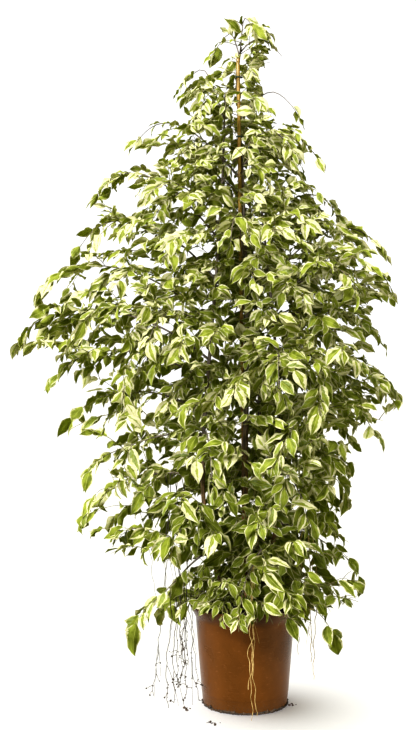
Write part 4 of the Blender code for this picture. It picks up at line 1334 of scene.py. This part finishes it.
def make_roots(index, lines, material):
    """Fine roots in strands, some forked, with crumbs of soil at their ends."""
    rng = random.Random(SEED + ROOT_WAVE_SEED + index)
    shape = Shape("bark", "look")
    is_grey = index in GREY_ROOTS
    age = 0.8 if is_grey else 0.3
    for path, radius in lines:
        fine = wavy(path, rng)
        add_tube(shape, fine, np.linspace(radius, radius * 0.55, len(fine)), 6, age, rng.random())
        for _ in range(rng.choice((0, 1, 1, 2) if is_grey else (0, 0, 1))):
            start = fine[rng.randrange(*FORK_STEPS)]
            side = np.array((rng.uniform(-1, 1), rng.uniform(-1, 1), 0.0)) * 0.02
            length = min(rng.uniform(0.03, 0.09), max(start[2] - 0.012, 0.01))
            add_rootlet(shape, start, unit(side - UP * 0.03), length, 0.8, radius * 0.6, age, rng)
        if path[-1, 2] < 0.16 and is_grey:
            add_tangle(shape, fine, radius, age, rng)
    piece = shape.build(f"hanging_roots_{index + 1:02d}", material, 60.0)
    return finish_piece(piece, "bark", f"branch_{index + 1:02d}")


def add_crumb(shape, spot, radius, rng):
    """An uneven crumb of soil."""
    points, faces = CRUMB
    stretch = np.array([rng.uniform(0.6, 1.3) for _ in range(3)])
    bumps = np.array([rng.uniform(0.75, 1.25) for _ in points])
    made = spot + points * radius * stretch * bumps[:, None]
    made[:, 2] = np.maximum(made[:, 2], 0.0008)
    corners = [k for face in faces for k in face]
    uv = np.zeros((len(corners), 2))
    look = np.full((len(corners), 2), (2.0, rng.random()))
    shape.add(made, corners, [3] * len(faces), bark=uv, look=look)


def crumb_form():
    """Points and faces of a small ball."""
    ball = bmesh.new()
    bmesh.ops.create_icosphere(ball, subdivisions=1, radius=1.0)
    ball.verts.ensure_lookup_table()
    points = np.array([v.co[:] for v in ball.verts])
    faces = [tuple(v.index for v in f.verts) for f in ball.faces]
    ball.free()
    return points, faces


CRUMB = crumb_form()


def turned(name, profile, sides, material):
    """A closed profile of radii and heights, down the outside first, turned round the Z axis."""
    mesh = bpy.data.meshes.new(name)
    points = [(radius, 0.0, height) for radius, height in profile]
    mesh.from_pydata(points, [(i, i + 1) for i in range(len(points) - 1)], [])
    made = new_object(name, mesh)
    screw = made.modifiers.new("Turn", "SCREW")
    screw.steps = sides
    screw.render_steps = sides
    screw.use_merge_vertices = True
    screw.merge_threshold = 0.00002
    apply_modifiers(made)
    made.data.materials.append(material)
    return made


def apply_modifiers(thing):
    graph = bpy.context.evaluated_depsgraph_get()
    made = bpy.data.meshes.new_from_object(thing.evaluated_get(graph))
    old = thing.data
    thing.modifiers.clear()
    thing.data = made
    bpy.data.meshes.remove(old)


def rounded(corners, radius, steps=5):
    """A profile with each inner corner rounded."""
    corners = [np.array(corner) for corner in corners]
    found = [corners[0]]
    for before, corner, after in zip(corners, corners[1:], corners[2:]):
        back = before - corner
        onward = after - corner
        reach = min(radius, 0.45 * np.linalg.norm(back), 0.45 * np.linalg.norm(onward))
        first = corner + unit(back) * reach
        last = corner + unit(onward) * reach
        for t in np.linspace(0, 1, steps):
            found.append((1 - t) ** 2 * first + 2 * t * (1 - t) * corner + t * t * last)
    found.append(corners[-1])
    return [tuple(float(value) for value in place) for place in found]


def make_pot(material):
    """The pot with its rolled lip, flared collar, stacking step and foot, and its drain holes."""
    profile = rounded(FINE_OUTSIDE, 0.0012, 4) + rounded(FINE_INSIDE, 0.0012, 3)
    pot = turned("pot_shell", profile, POT_SIDES, material)
    for i in range(DRAIN_HOLES):
        place = polar(DRAIN_CIRCLE, math.tau * (i + 0.5) / DRAIN_HOLES, 0.0)
        bpy.ops.mesh.primitive_cylinder_add(vertices=24, radius=DRAIN_RADIUS, depth=0.02, location=place)
        hole = bpy.context.object
        cut = pot.modifiers.new("Hole", "BOOLEAN")
        cut.operation = "DIFFERENCE"
        cut.object = hole
        apply_modifiers(pot)
        bpy.data.objects.remove(hole)
    pot.data.shade_smooth()
    pot.data.set_sharp_from_angle(angle=math.radians(35))
    return finish_piece(pot, "pot", "pot")


def soil_points():
    """Points of the lumpy top from its middle out, then of the low ring and the middle below."""
    points = [(0.0, 0.0, 0.0)]
    for i in range(1, SOIL_RINGS + 1):
        for k in range(SOIL_SIDES):
            points.append(polar(SOIL_RADIUS * (i / SOIL_RINGS), math.tau * k / SOIL_SIDES, 0.0))
    points = np.array(points)
    for point in points:
        share = math.hypot(point[0], point[1]) / SOIL_RADIUS
        spot = Vector((point[0], point[1], 0.0))
        lumps = SOIL_LUMPS[0] * noise.fractal(spot * SOIL_LUMPS[1], 0.7, 2.1, 4)
        grit = SOIL_GRIT[0] * noise.noise(spot * SOIL_GRIT[1])
        point[2] = SOIL_LEVEL + SOIL_MOUND * (1 - share**2) + (lumps + grit) * (1 - 0.5 * share**6)
    low_ring = points[-SOIL_SIDES:].copy()
    low_ring[:, :2] *= SOIL_FOOT[0] / SOIL_RADIUS
    low_ring[:, 2] = SOIL_FOOT[1]
    return np.vstack([points, low_ring, [(0.0, 0.0, SOIL_FOOT[1])]])


def soil_faces():
    """Faces between the rings of the soil's points."""
    top = 1 + SOIL_RINGS * SOIL_SIDES
    last = top - SOIL_SIDES
    faces = [(0, 1 + k, 1 + (k + 1) % SOIL_SIDES) for k in range(SOIL_SIDES)]
    for ring in range(1, last, SOIL_SIDES):
        for k in range(SOIL_SIDES):
            a = ring + k
            b = ring + (k + 1) % SOIL_SIDES
            faces.append((a, a + SOIL_SIDES, b + SOIL_SIDES, b))
    for k in range(SOIL_SIDES):
        after = (k + 1) % SOIL_SIDES
        faces.append((last + k, top + k, top + after, last + after))
        faces.append((top + k, top + SOIL_SIDES, top + after))
    return faces


def make_soil(stems, material):
    """Potting mix in lumps, with loose crumbs of bark and earth on it."""
    rng = random.Random(SEED)
    points = soil_points()
    faces = soil_faces()
    shape = Shape("bark", "look")
    corners = [k for face in faces for k in face]
    look = np.full((len(corners), 2), (2.0, 0.0))
    shape.add(points, corners, [len(face) for face in faces], bark=points[corners][:, :2], look=look)
    surface = points[: 1 + SOIL_RINGS * SOIL_SIDES]
    for _ in range(SOIL_CRUMBS):
        turn = rng.uniform(0, math.tau)
        spot = polar(SOIL_RADIUS * math.sqrt(rng.uniform(0, 0.94)), turn, 0.0)
        near = int(np.argmin(((surface[:, :2] - spot[:2]) ** 2).sum(axis=1)))
        spot[2] = surface[near, 2] + 0.0006
        if any(math.dist(spot[:2], ring_at(rings, 0.25)[:2]) < 0.010 for rings in stems.values()):
            continue
        add_crumb(shape, spot, rng.uniform(*CRUMB_SIZES), rng)
    return finish_piece(shape.build("potting_mix", material, 50.0), "soil", "soil")


def make_base_crumbs(material):
    """Wet soil stuck along the foot of the pot, thickest in front, and a few crumbs beside it."""
    rng = random.Random(SEED + CRUMB_SEED)
    shape = Shape("bark", "look")
    for _ in range(BASE_CRUMBS):
        turn = math.radians(BASE_MIDDLE + rng.gauss(0, BASE_SPREAD))
        lump = max(0.0, noise.noise(Vector((turn * 5.0, 0.0, 3.0))) + 0.35)
        away = rng.uniform(*BASE_AWAY)
        spot = polar(away, turn, rng.uniform(0.0010, 0.0030 + 0.0065 * lump))
        add_crumb(shape, spot, rng.uniform(0.0014, 0.0030 + 0.0034 * lump), rng)
    for right, front, size in LOOSE_CRUMBS:
        for _ in range(9):
            spot = np.array((right + rng.gauss(0, 0.005), front + rng.gauss(0, 0.006), 0.0018))
            add_crumb(shape, spot, size * rng.uniform(0.4, 1.0), rng)
    piece = shape.build("spilt_soil", material, 50.0)
    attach(piece, "root")


def make_cane(material):
    """Bamboo: each node has a raised ring over a sheath scar, and the top is a cut end."""
    length = math.dist(CANE_FOOT, CANE_TOP)
    stations = [(0.0, 0.0), (length - 0.0012, 0.0), (length, -0.0006)]
    for node in CANE_NODE_HEIGHTS:
        stations += [(node - CANE_FOOT[2] + place, swell) for place, swell in NODE_FORM]
    heights, swells = np.array(sorted(stations)).T
    way = unit(np.array(CANE_TOP) - np.array(CANE_FOOT))
    line = np.array(CANE_FOOT) + heights[:, None] * way
    radii = CANE_RADIUS - CANE_TAPER * heights / length + swells
    shape = Shape("bark", "look")
    add_tube(shape, line, radii, 28, 0.0, 0.0)
    return finish_piece(shape.build("cane", material, 50.0), "bamboo", "bamboo_cane")


def tie_turns(height, stems):
    """A line twice round the cane and the centre stem."""
    ring = ring_at(stems["stem_centre"], height)
    circles = ((cane_at(height), CANE_RADIUS), (ring[:3], ring[3]))
    line = []
    for i in range(2 * TIE_STEPS + 1):
        turn = math.tau * i / TIE_STEPS
        way = polar(1.0, turn, 0.0)
        centre, radius = max(circles, key=lambda circle: float(circle[0] @ way) + circle[1])
        rise = 0.0011 * math.sin(turn) + 0.0016 * (i / TIE_STEPS - 1)
        line.append(centre * (1, 1, 0) + way * (radius + 0.0012) + UP * (height + rise))
    return line


def tie_knot():
    """A small loop in the shape of an eight."""
    for i in range(29):
        turn = math.tau * i / 18
        yield 0.0019 * math.cos(turn) + 0.00006 * i, 0.0016 * math.sin(turn), 0.0018 * math.sin(2 * turn)


def tie_tail():
    """The longer end, which waves a little on its way to the right."""
    for t in np.linspace(0, 1, TAIL_STEPS):
        yield 0.028 * t, -0.004 * t - 0.002 * math.sin(5 * t), -0.008 * t + 0.003 * math.sin(3.1 * t)


def make_tie(number, height, stems, material):
    """A thin plastic tie twice round the cane and the stem, knotted at the right, with its tail."""
    rng = random.Random(SEED + number)
    line = tie_turns(height, stems)
    knot = max(line, key=lambda place: place[0]) + np.array((0.0012, -0.0006, 0.0))
    tail = np.linspace(0, 1, TAIL_STEPS)
    tail_radii = np.interp(tail, (0, 0.3, 1), (TIE_THICKNESS, 0.0013, 0.0012))
    steps = np.linspace(0, 1, SHORT_END_STEPS)
    short = [(0.010 * t, 0.003 * t, 0.006 * t - 0.004 * t * t + rng.uniform(0, 0.0002)) for t in steps]
    shape = Shape("bark", "look")
    add_tube(shape, np.array(line), TIE_THICKNESS, 8, 0.0, 0.0)
    add_tube(shape, knot + np.array(list(tie_knot())), TIE_THICKNESS, 8, 0.0, 0.0)
    add_tube(shape, knot + np.array(list(tie_tail())), tail_radii, 8, 1.0, 0.0)
    add_tube(shape, knot + np.array(short), TIE_THICKNESS, 8, 0.0, 0.0)
    return finish_piece(shape.build(f"plastic_tie_{number}", material, 60.0), "tie", f"tie_{number}")


class Nodes:
    """Short names for building a material's nodes."""

    def __init__(self, name):
        self.material = bpy.data.materials.new(name)
        self.material.use_nodes = True
        self.tree = self.material.node_tree
        self.shader = self.tree.nodes["Principled BSDF"]
        self.output = self.tree.nodes["Material Output"]

    def node(self, kind, **settings):
        made = self.tree.nodes.new(kind)
        for key, value in settings.items():
            setattr(made, key, value)
        return made

    def feed(self, socket, value):
        if isinstance(value, bpy.types.NodeSocket):
            self.tree.links.new(value, socket)
        elif isinstance(value, tuple) and len(value) == 3 and socket.type == "RGBA":
            socket.default_value = (*value, 1.0)
        else:
            socket.default_value = value

    def fed(self, made, values, output=0):
        """The output of a node whose first sockets are fed with the values."""
        for socket, value in zip(made.inputs, values):
            self.feed(socket, value)
        return made.outputs[output]

    def maths(self, operation, *values, clamp=False):
        return self.fed(self.node("ShaderNodeMath", operation=operation, use_clamp=clamp), values)

    def times(self, first, second):
        return self.maths("MULTIPLY", first, second)

    def plus(self, first, second):
        return self.maths("ADD", first, second)

    def minus(self, first, second):
        return self.maths("SUBTRACT", first, second)

    def mixed(self, share, first, second):
        made = self.node("ShaderNodeMix", data_type="RGBA")
        self.feed(made.inputs["Factor"], share)
        self.feed(made.inputs[6], first)
        self.feed(made.inputs[7], second)
        return made.outputs[2]

    def between(self, value, low, high, first=0.0, last=1.0):
        """A smooth step from low to high."""
        made = self.node("ShaderNodeMapRange", interpolation_type="SMOOTHSTEP")
        return self.fed(made, (value, low, high, first, last))

    def graded(self, value, low, high, first, second):
        """A colour that turns smoothly from the first to the second."""
        return self.mixed(self.between(value, low, high), first, second)

    def noise(self, vector, scale, detail, rough):
        made = self.node("ShaderNodeTexNoise", noise_dimensions="3D")
        for name, value in (("Vector", vector), ("Scale", scale), ("Detail", detail), ("Roughness", rough)):
            self.feed(made.inputs[name], value)
        return made.outputs[0]

    def stretched(self, places, detail, rough, scale=1.0):
        """Noise at a place, each part of which is a value or a pair to multiply."""
        parts = [self.times(*part) if isinstance(part, tuple) else part for part in places]
        return self.noise(self.fed(self.node("ShaderNodeCombineXYZ"), parts), scale, detail, rough)

    def uv(self, layer):
        made = self.node("ShaderNodeUVMap", uv_map=layer)
        return self.split(made.outputs[0])[:2]

    def split(self, vector):
        made = self.node("ShaderNodeSeparateXYZ")
        self.tree.links.new(vector, made.inputs[0])
        return made.outputs[0], made.outputs[1], made.outputs[2]

    def place(self):
        return self.node("ShaderNodeTexCoord").outputs["Object"]

    def surface(self, colour, rough, specular=None, tint=None):
        self.feed(self.shader.inputs["Base Color"], colour)
        self.feed(self.shader.inputs["Roughness"], rough)
        if specular is not None:
            self.shader.inputs["Specular IOR Level"].default_value = specular
        if tint is not None:
            self.feed(self.shader.inputs["Specular Tint"], tint)

    def bump(self, height, distance, strength):
        made = self.node("ShaderNodeBump")
        for name, value in (("Height", height), ("Distance", distance), ("Strength", strength)):
            self.feed(made.inputs[name], value)
        self.tree.links.new(made.outputs[0], self.shader.inputs["Normal"])
        return made.outputs[0]

    def let_through(self, colour, normal, share):
        """Light that comes through a blade."""
        through_light = self.node("ShaderNodeBsdfTranslucent")
        self.feed(through_light.inputs["Color"], colour)
        self.tree.links.new(normal, through_light.inputs["Normal"])
        both = self.node("ShaderNodeMixShader")
        self.fed(both, (share, self.shader.outputs[0], through_light.outputs[0]))
        self.tree.links.new(both.outputs[0], self.output.inputs["Surface"])


def leaf_material():
    """Green blades, marbled grey, with cream margins that reach in along the side veins. The grey-green on
    some blades is partly real marbling and partly a painted sheen, and the greens and creams carry painted
    light by the blade's place in the crown.
    """
    n = Nodes("leaf_blade")
    across, length = n.uv("blade")
    share, tone = n.uv("look")
    under = n.maths("GREATER_THAN", across, 1.5)
    across = n.minus(across, n.times(under, 2.0))
    out = n.times(n.maths("ABSOLUTE", n.minus(across, 0.5)), 2.0)
    seed = n.times(tone, 61.0)
    vein = n.minus(length, n.times(out, 0.24))
    wide = n.times(across, 2.4)
    broad = n.stretched(((vein, 5.0), wide, seed), 2.0, 0.5)
    ragged = n.stretched(((vein, 19.0), wide, n.plus(seed, 9.0)), 3.0, 0.6)
    edge = n.plus(out, n.times(n.minus(broad, 0.5), 0.85))
    edge = n.plus(edge, n.times(n.minus(ragged, 0.5), 0.50))
    gap = n.minus(edge, n.minus(1.02, share))
    cream = n.maths("MAXIMUM", n.between(gap, -0.05, 0.05), n.between(out, 0.80, 0.88))
    marble = n.stretched(((vein, 8.0), wide, n.plus(seed, 23.0)), 3.0, 0.6, 1.4)
    grey = n.times(n.between(gap, -0.46, -0.30), n.between(marble, 0.42, 0.56))
    shade = n.stretched(((vein, 3.0), wide, n.plus(seed, 41.0)), 2.0, 0.5)
    # deep, fresh and pale follow the look's second value, which holds painted light: brighter greens and
    # creams high and outside, darker ones inside as painted shade.
    deep = n.mixed(tone, (0.031, 0.046, 0.002), (0.174, 0.214, 0.016))
    fresh = n.mixed(tone, (0.110, 0.142, 0.004), (0.414, 0.480, 0.070))
    green = n.graded(shade, 0.34, 0.64, deep, fresh)
    # Grey-green on some blades: partly real marbling, partly a painted sheen.
    marbling_and_sheen = n.between(n.maths("FRACT", n.times(tone, 7.3)), 0.70, 0.80, 0.04, 0.75)
    green = n.mixed(n.times(grey, marbling_and_sheen), green, (0.300, 0.375, 0.160))
    pale = n.mixed(tone, (0.690, 0.655, 0.430), (0.755, 0.730, 0.610))
    pale = n.graded(ragged, 0.35, 0.75, pale, (0.680, 0.642, 0.320))
    colour = n.mixed(cream, green, pale)
    steps = n.maths("FRACT", n.times(vein, 11.0))
    ribs = n.between(n.times(n.maths("ABSOLUTE", n.minus(steps, 0.5)), 2.0), 0.90, 1.0)
    colour = n.mixed(n.times(ribs, 0.22), colour, (0.410, 0.450, 0.090))
    midrib = n.between(out, 0.075, 0.030)
    colour = n.mixed(n.times(midrib, 0.70), colour, (0.470, 0.510, 0.120))
    colour = n.mixed(n.times(under, 0.35), colour, (0.325, 0.380, 0.065))
    n.surface(colour, n.between(shade, 0.2, 0.8, 0.44, 0.60), 0.12, (0.95, 1.0, 0.60))
    height = n.minus(n.times(shade, 0.5), n.times(ribs, 0.35))
    normal = n.bump(n.minus(height, n.times(midrib, 0.9)), 0.0007, 0.7)
    n.let_through(n.mixed(0.5, colour, (0.68, 0.77, 0.09)), normal, 0.35)
    return n.material


def bark_material():
    """Old brown wood, grey-brown twigs and green shoots by age, and dark crumbs over age 1.5."""
    n = Nodes("fig_bark")
    around, up = n.uv("bark")
    age, seed = n.uv("look")
    streak = n.stretched(((around, 260.0), (up, 34.0), (seed, 31.0)), 4.0, 0.6)
    patch = n.noise(n.place(), 46.0, 3.0, 0.6)
    fine = n.noise(n.place(), 900.0, 2.0, 0.6)
    old = n.graded(streak, 0.38, 0.62, (0.062, 0.030, 0.008), (0.310, 0.155, 0.036))
    old = n.graded(patch, 0.52, 0.70, old, (0.205, 0.135, 0.060))
    twig = n.graded(streak, 0.40, 0.62, (0.060, 0.048, 0.038), (0.190, 0.155, 0.125))
    shoot = n.graded(streak, 0.40, 0.62, (0.125, 0.120, 0.045), (0.230, 0.200, 0.090))
    colour = n.graded(age, 0.15, 0.55, shoot, twig)
    colour = n.graded(age, 0.85, 1.0, colour, old)
    warts = n.between(n.stretched(((around, 700.0), (up, 420.0), seed), 1.0, 0.5), 0.66, 0.72)
    colour = n.mixed(n.times(warts, 0.5), colour, (0.380, 0.300, 0.200))
    earth = n.mixed(fine, (0.012, 0.008, 0.006), (0.060, 0.036, 0.022))
    colour = n.mixed(n.maths("GREATER_THAN", age, 1.5), colour, earth)
    n.surface(colour, n.between(streak, 0.2, 0.8, 0.62, 0.85))
    n.bump(n.plus(streak, n.plus(n.times(warts, 0.7), n.times(fine, 0.3))), 0.0006, 0.8)
    return n.material


def root_material():
    """Tan to grey hanging roots with a dusty skin."""
    n = Nodes("root_skin")
    _, up = n.uv("bark")
    age, seed = n.uv("look")
    streak = n.stretched(((up, 60.0), (seed, 17.0), 0.0), 3.0, 0.6)
    fine = n.noise(n.place(), 1200.0, 2.0, 0.6)
    tan = n.graded(streak, 0.35, 0.65, (0.330, 0.215, 0.070), (0.600, 0.430, 0.175))
    grey = n.graded(streak, 0.35, 0.65, (0.022, 0.018, 0.015), (0.100, 0.080, 0.060))
    colour = n.mixed(n.maths("LESS_THAN", age, 0.5), grey, tan)
    earth = n.mixed(fine, (0.012, 0.008, 0.006), (0.055, 0.034, 0.022))
    colour = n.mixed(n.maths("GREATER_THAN", age, 1.5), colour, earth)
    n.surface(colour, n.between(fine, 0.2, 0.8, 0.70, 0.92))
    n.bump(n.plus(streak, fine), 0.0003, 0.7)
    return n.material


def soil_material():
    """Dark, damp potting mix with fibres and paler bits of bark."""
    n = Nodes("potting_mix")
    place = n.place()
    coarse = n.noise(place, 120.0, 5.0, 0.65)
    fine = n.noise(place, 700.0, 3.0, 0.6)
    colour = n.graded(coarse, 0.38, 0.66, (0.010, 0.007, 0.005), (0.062, 0.038, 0.022))
    colour = n.graded(fine, 0.60, 0.72, colour, (0.160, 0.098, 0.052))
    n.surface(colour, n.between(coarse, 0.3, 0.7, 0.78, 0.98))
    n.bump(n.plus(coarse, n.times(fine, 0.5)), 0.0015, 1.0)
    return n.material


def bamboo_material():
    """Golden cane with long fibres, browner at its nodes, with dark freckles."""
    n = Nodes("bamboo_skin")
    around, up = n.uv("bark")
    fibre = n.stretched(((around, 900.0), (up, 9.0), 3.0), 4.0, 0.6)
    patch = n.stretched(((around, 60.0), (up, 14.0), 8.0), 3.0, 0.6)
    freckle = n.stretched(((around, 620.0), (up, 260.0), 5.0), 2.0, 0.5)
    colour = n.graded(fibre, 0.35, 0.65, (0.260, 0.145, 0.018), (0.420, 0.265, 0.045))
    colour = n.graded(patch, 0.50, 0.72, colour, (0.230, 0.095, 0.020))
    scar = 0.0
    for node in CANE_NODE_HEIGHTS:
        away = n.maths("ABSOLUTE", n.minus(up, node - CANE_FOOT[2]))
        scar = n.maths("MAXIMUM", scar, n.between(away, 0.0075, 0.0010))
    colour = n.mixed(n.times(scar, 0.75), colour, (0.170, 0.080, 0.025))
    colour = n.mixed(n.times(n.between(freckle, 0.66, 0.74), 0.6), colour, (0.090, 0.045, 0.018))
    n.surface(colour, n.between(fibre, 0.2, 0.8, 0.32, 0.50))
    n.bump(n.minus(fibre, n.times(scar, 0.4)), 0.0003, 0.7)
    return n.material


def pot_material():
    """Glossy brown plastic with faint moulding rings, scuffs, and dust and splashes of soil low down."""
    n = Nodes("pot_plastic")
    place = n.place()
    right, back, height = n.split(place)
    cloud = n.noise(place, 9.0, 4.0, 0.6)
    scuff = n.stretched(((right, 60.0), (back, 60.0), (height, 420.0)), 3.0, 0.6)
    speck = n.noise(place, 420.0, 2.0, 0.6)
    colour = n.graded(cloud, 0.35, 0.68, (0.062, 0.0200, 0.0020), (0.081, 0.0262, 0.0034))
    dusty = n.times(n.between(height, 0.050, 0.002), n.between(speck, 0.46, 0.62))
    colour = n.mixed(n.times(dusty, 0.75), colour, (0.040, 0.024, 0.014))
    colour = n.mixed(n.times(n.between(scuff, 0.62, 0.74), 0.30), colour, (0.290, 0.120, 0.050))
    rough = n.plus(n.between(cloud, 0.3, 0.7, 0.24, 0.36), n.times(dusty, 0.4))
    rough = n.maths("ADD", rough, n.times(n.between(scuff, 0.58, 0.74), 0.18), clamp=True)
    n.surface(colour, rough, 0.20, (1.0, 0.80, 0.50))
    n.bump(n.plus(n.times(scuff, 0.35), n.times(speck, 0.12)), 0.0004, 0.5)
    return n.material


def tie_material():
    """Dark green plastic, nearly black along its tail."""
    n = Nodes("tie_plastic")
    _, up = n.uv("bark")
    age, _ = n.uv("look")
    twist = n.stretched(((up, 520.0), 0.0, 0.0), 2.0, 0.5)
    colour = n.graded(twist, 0.40, 0.62, (0.006, 0.030, 0.022), (0.016, 0.085, 0.058))
    n.surface(n.mixed(age, colour, (0.006, 0.011, 0.012)), n.between(twist, 0.3, 0.7, 0.34, 0.48))
    n.bump(twist, 0.0003, 0.6)
    return n.material


def floor_material():
    """White studio paper, lit a little from within so that it stays pale."""
    n = Nodes("studio_paper")
    grain = n.noise(n.place(), 60.0, 2.0, 0.5)
    n.surface(n.mixed(grain, (0.84, 0.84, 0.84), (0.86, 0.86, 0.86)), 0.75, 0.15)
    n.feed(n.shader.inputs["Emission Color"], (0.82, 0.77, 1.0))
    n.feed(n.shader.inputs["Emission Strength"], 0.163)
    return n.material


def add_light(name, place, target, size, power, colour=(1.0, 1.0, 1.0)):
    data = bpy.data.lights.new(name, "AREA")
    data.shape = "RECTANGLE"
    data.size, data.size_y = size
    data.energy = power
    data.color = colour
    light = new_object(name, data)
    light.location = place
    light.rotation_euler = (Vector(target) - Vector(place)).to_track_quat("-Z", "Y").to_euler()
    return light


def add_sun(name, way, power, angle, colour=(1.0, 1.0, 1.0)):
    data = bpy.data.lights.new(name, "SUN")
    data.energy = power
    data.angle = math.radians(angle)
    data.color = colour
    sun = new_object(name, data)
    sun.rotation_euler = Vector(way).to_track_quat("Z", "Y").to_euler()
    return sun


def light_set(name, thing):
    """A collection with one thing in it, for lights to tell it apart."""
    made = bpy.data.collections.new(name)
    made.objects.link(thing)
    return made


def link_lights(floor, lights, pot):
    """A soft light gives the floor the pot's shadow, and the pot has lights at its sides."""
    apart = light_set("floor_apart", floor)
    apart.collection_objects[0].light_linking.link_state = "EXCLUDE"
    for light in lights:
        light.light_linking.receiver_collection = apart
    pot_alone = light_set("pot_alone", pot)
    soft = add_sun("floor_light", *FLOOR_SUN)
    soft.light_linking.receiver_collection = light_set("floor_alone", floor)
    soft.light_linking.blocker_collection = pot_alone
    for name, place, size, power in POT_LIGHTS:
        light = add_light(name, place, (0.0, 0.0, 0.15), (size, size), power)
        light.light_linking.receiver_collection = pot_alone


def make_world():
    """White where the camera looks, and a dim warm light from all round."""
    world = bpy.data.worlds.new("studio")
    bpy.context.scene.world = world
    world.use_nodes = True
    tree = world.node_tree
    tree.nodes.clear()
    output = tree.nodes.new("ShaderNodeOutputWorld")
    both = tree.nodes.new("ShaderNodeMixShader")
    path = tree.nodes.new("ShaderNodeLightPath")
    tree.links.new(path.outputs["Is Camera Ray"], both.inputs[0])
    for i, (colour, strength) in enumerate(WORLD_LIGHTS, start=1):
        light = tree.nodes.new("ShaderNodeBackground")
        light.inputs["Color"].default_value = colour
        light.inputs["Strength"].default_value = strength
        tree.links.new(light.outputs[0], both.inputs[i])
    tree.links.new(both.outputs[0], output.inputs["Surface"])


def make_studio():
    """The camera at the photograph's place, white paper, a large soft key light and a fill."""
    scene = bpy.context.scene
    scene.view_settings.view_transform = "Standard"
    scene.view_settings.look = "Medium High Contrast"
    data = bpy.data.cameras.new("camera")
    data.lens = LENS
    data.sensor_width = 36.0
    data.sensor_fit = "AUTO"
    data.clip_end = 60.0
    camera = new_object("camera", data)
    camera.location = CAMERA
    camera.rotation_euler = (math.radians(90), 0.0, 0.0)
    scene.camera = camera
    bpy.ops.mesh.primitive_plane_add(size=60.0, location=(0.0, 0.0, 0.0))
    floor = bpy.context.object
    floor.name = "floor"
    floor.data.materials.append(floor_material())
    floor.visible_diffuse = False
    make_world()
    return floor, [add_sun("key", *KEY_SUN), add_light("fill", *FILL_LIGHT)]


def add_all_shoots(branches, stems):
    """The shoots that only the looks have, along the limbs and stems and then through the crown."""
    thick = Room(THICK_CLEARANCE)
    thick.add(thick_lines(stems))
    thick.add(pot_outline()[::3])
    thin = Room(TWIG_CELL)
    for branch in branches:
        thin.add(sampled(with_end(branch["limb"])))
        for rib in branch["shoots"]:
            thin.add(sampled(rib))
    for index, branch in enumerate(branches):
        if index != BARE_LIMB:
            add_shoots(branch, thick, thin, random.Random(SEED + MORE_SEED + index))
    shoots = {name: stem_shoots(rings, thick, thin, random.Random(name)) for name, rings in stems.items()}
    fill_crown(branches, stems, shoots, thick, thin, random.Random(SEED))
    return shoots


def taken_space(branches, stems):
    """The space that the pot, the soil, the cane, the ties, the stems and the twigs take."""
    space = Space()
    for node in ("pot", "soil", "bamboo_cane", "tie_1", "tie_2", *stems):
        mesh = frame["nodes"][node].data
        space.add([v.co[:] for v in mesh.vertices], [tuple(p.vertices) for p in mesh.polygons])
    for branch in branches:
        lines = [(with_end(branch["limb"]), 0.0018)] + [(rib, 0.0009) for rib in branch["shoots"]]
        for rib, radius in lines:
            steps = np.linspace(0.006, length_of(rib) - 0.002, 9)
            points, corners, _, _ = tube_parts(stepped(rib, steps), radius, 3)
            sides = corners[: 4 * 3 * 8].reshape(-1, 4)
            space.add(points, [tuple(side) for side in sides.tolist()])
    return space


def main():
    floor, lights = make_studio()
    materials = {
        "bark": bark_material(),
        "leaf": leaf_material(),
        "root": root_material(),
        "soil": soil_material(),
        "bamboo": bamboo_material(),
        "pot": pot_material(),
        "tie": tie_material(),
    }
    stems = stem_rings()
    branches = lay_out(stems)
    shoots = add_all_shoots(branches, stems)
    space = taken_space(branches, stems)
    roots = root_lines(branches)
    pot = make_pot(materials["pot"])
    link_lights(floor, lights, pot)
    make_soil(stems, materials["soil"])
    make_base_crumbs(materials["soil"])
    make_cane(materials["bamboo"])
    for number, height in enumerate(TIE_HEIGHTS, start=1):
        make_tie(number, height, stems, materials["tie"])
    for index, lines in roots.items():
        make_roots(index, lines, materials["root"])
    for number, branch in enumerate(branches, start=1):
        make_branch(number, branch, space, materials)
    for name, rings in stems.items():
        make_stem(name, rings, shoots[name], space, materials)


main()
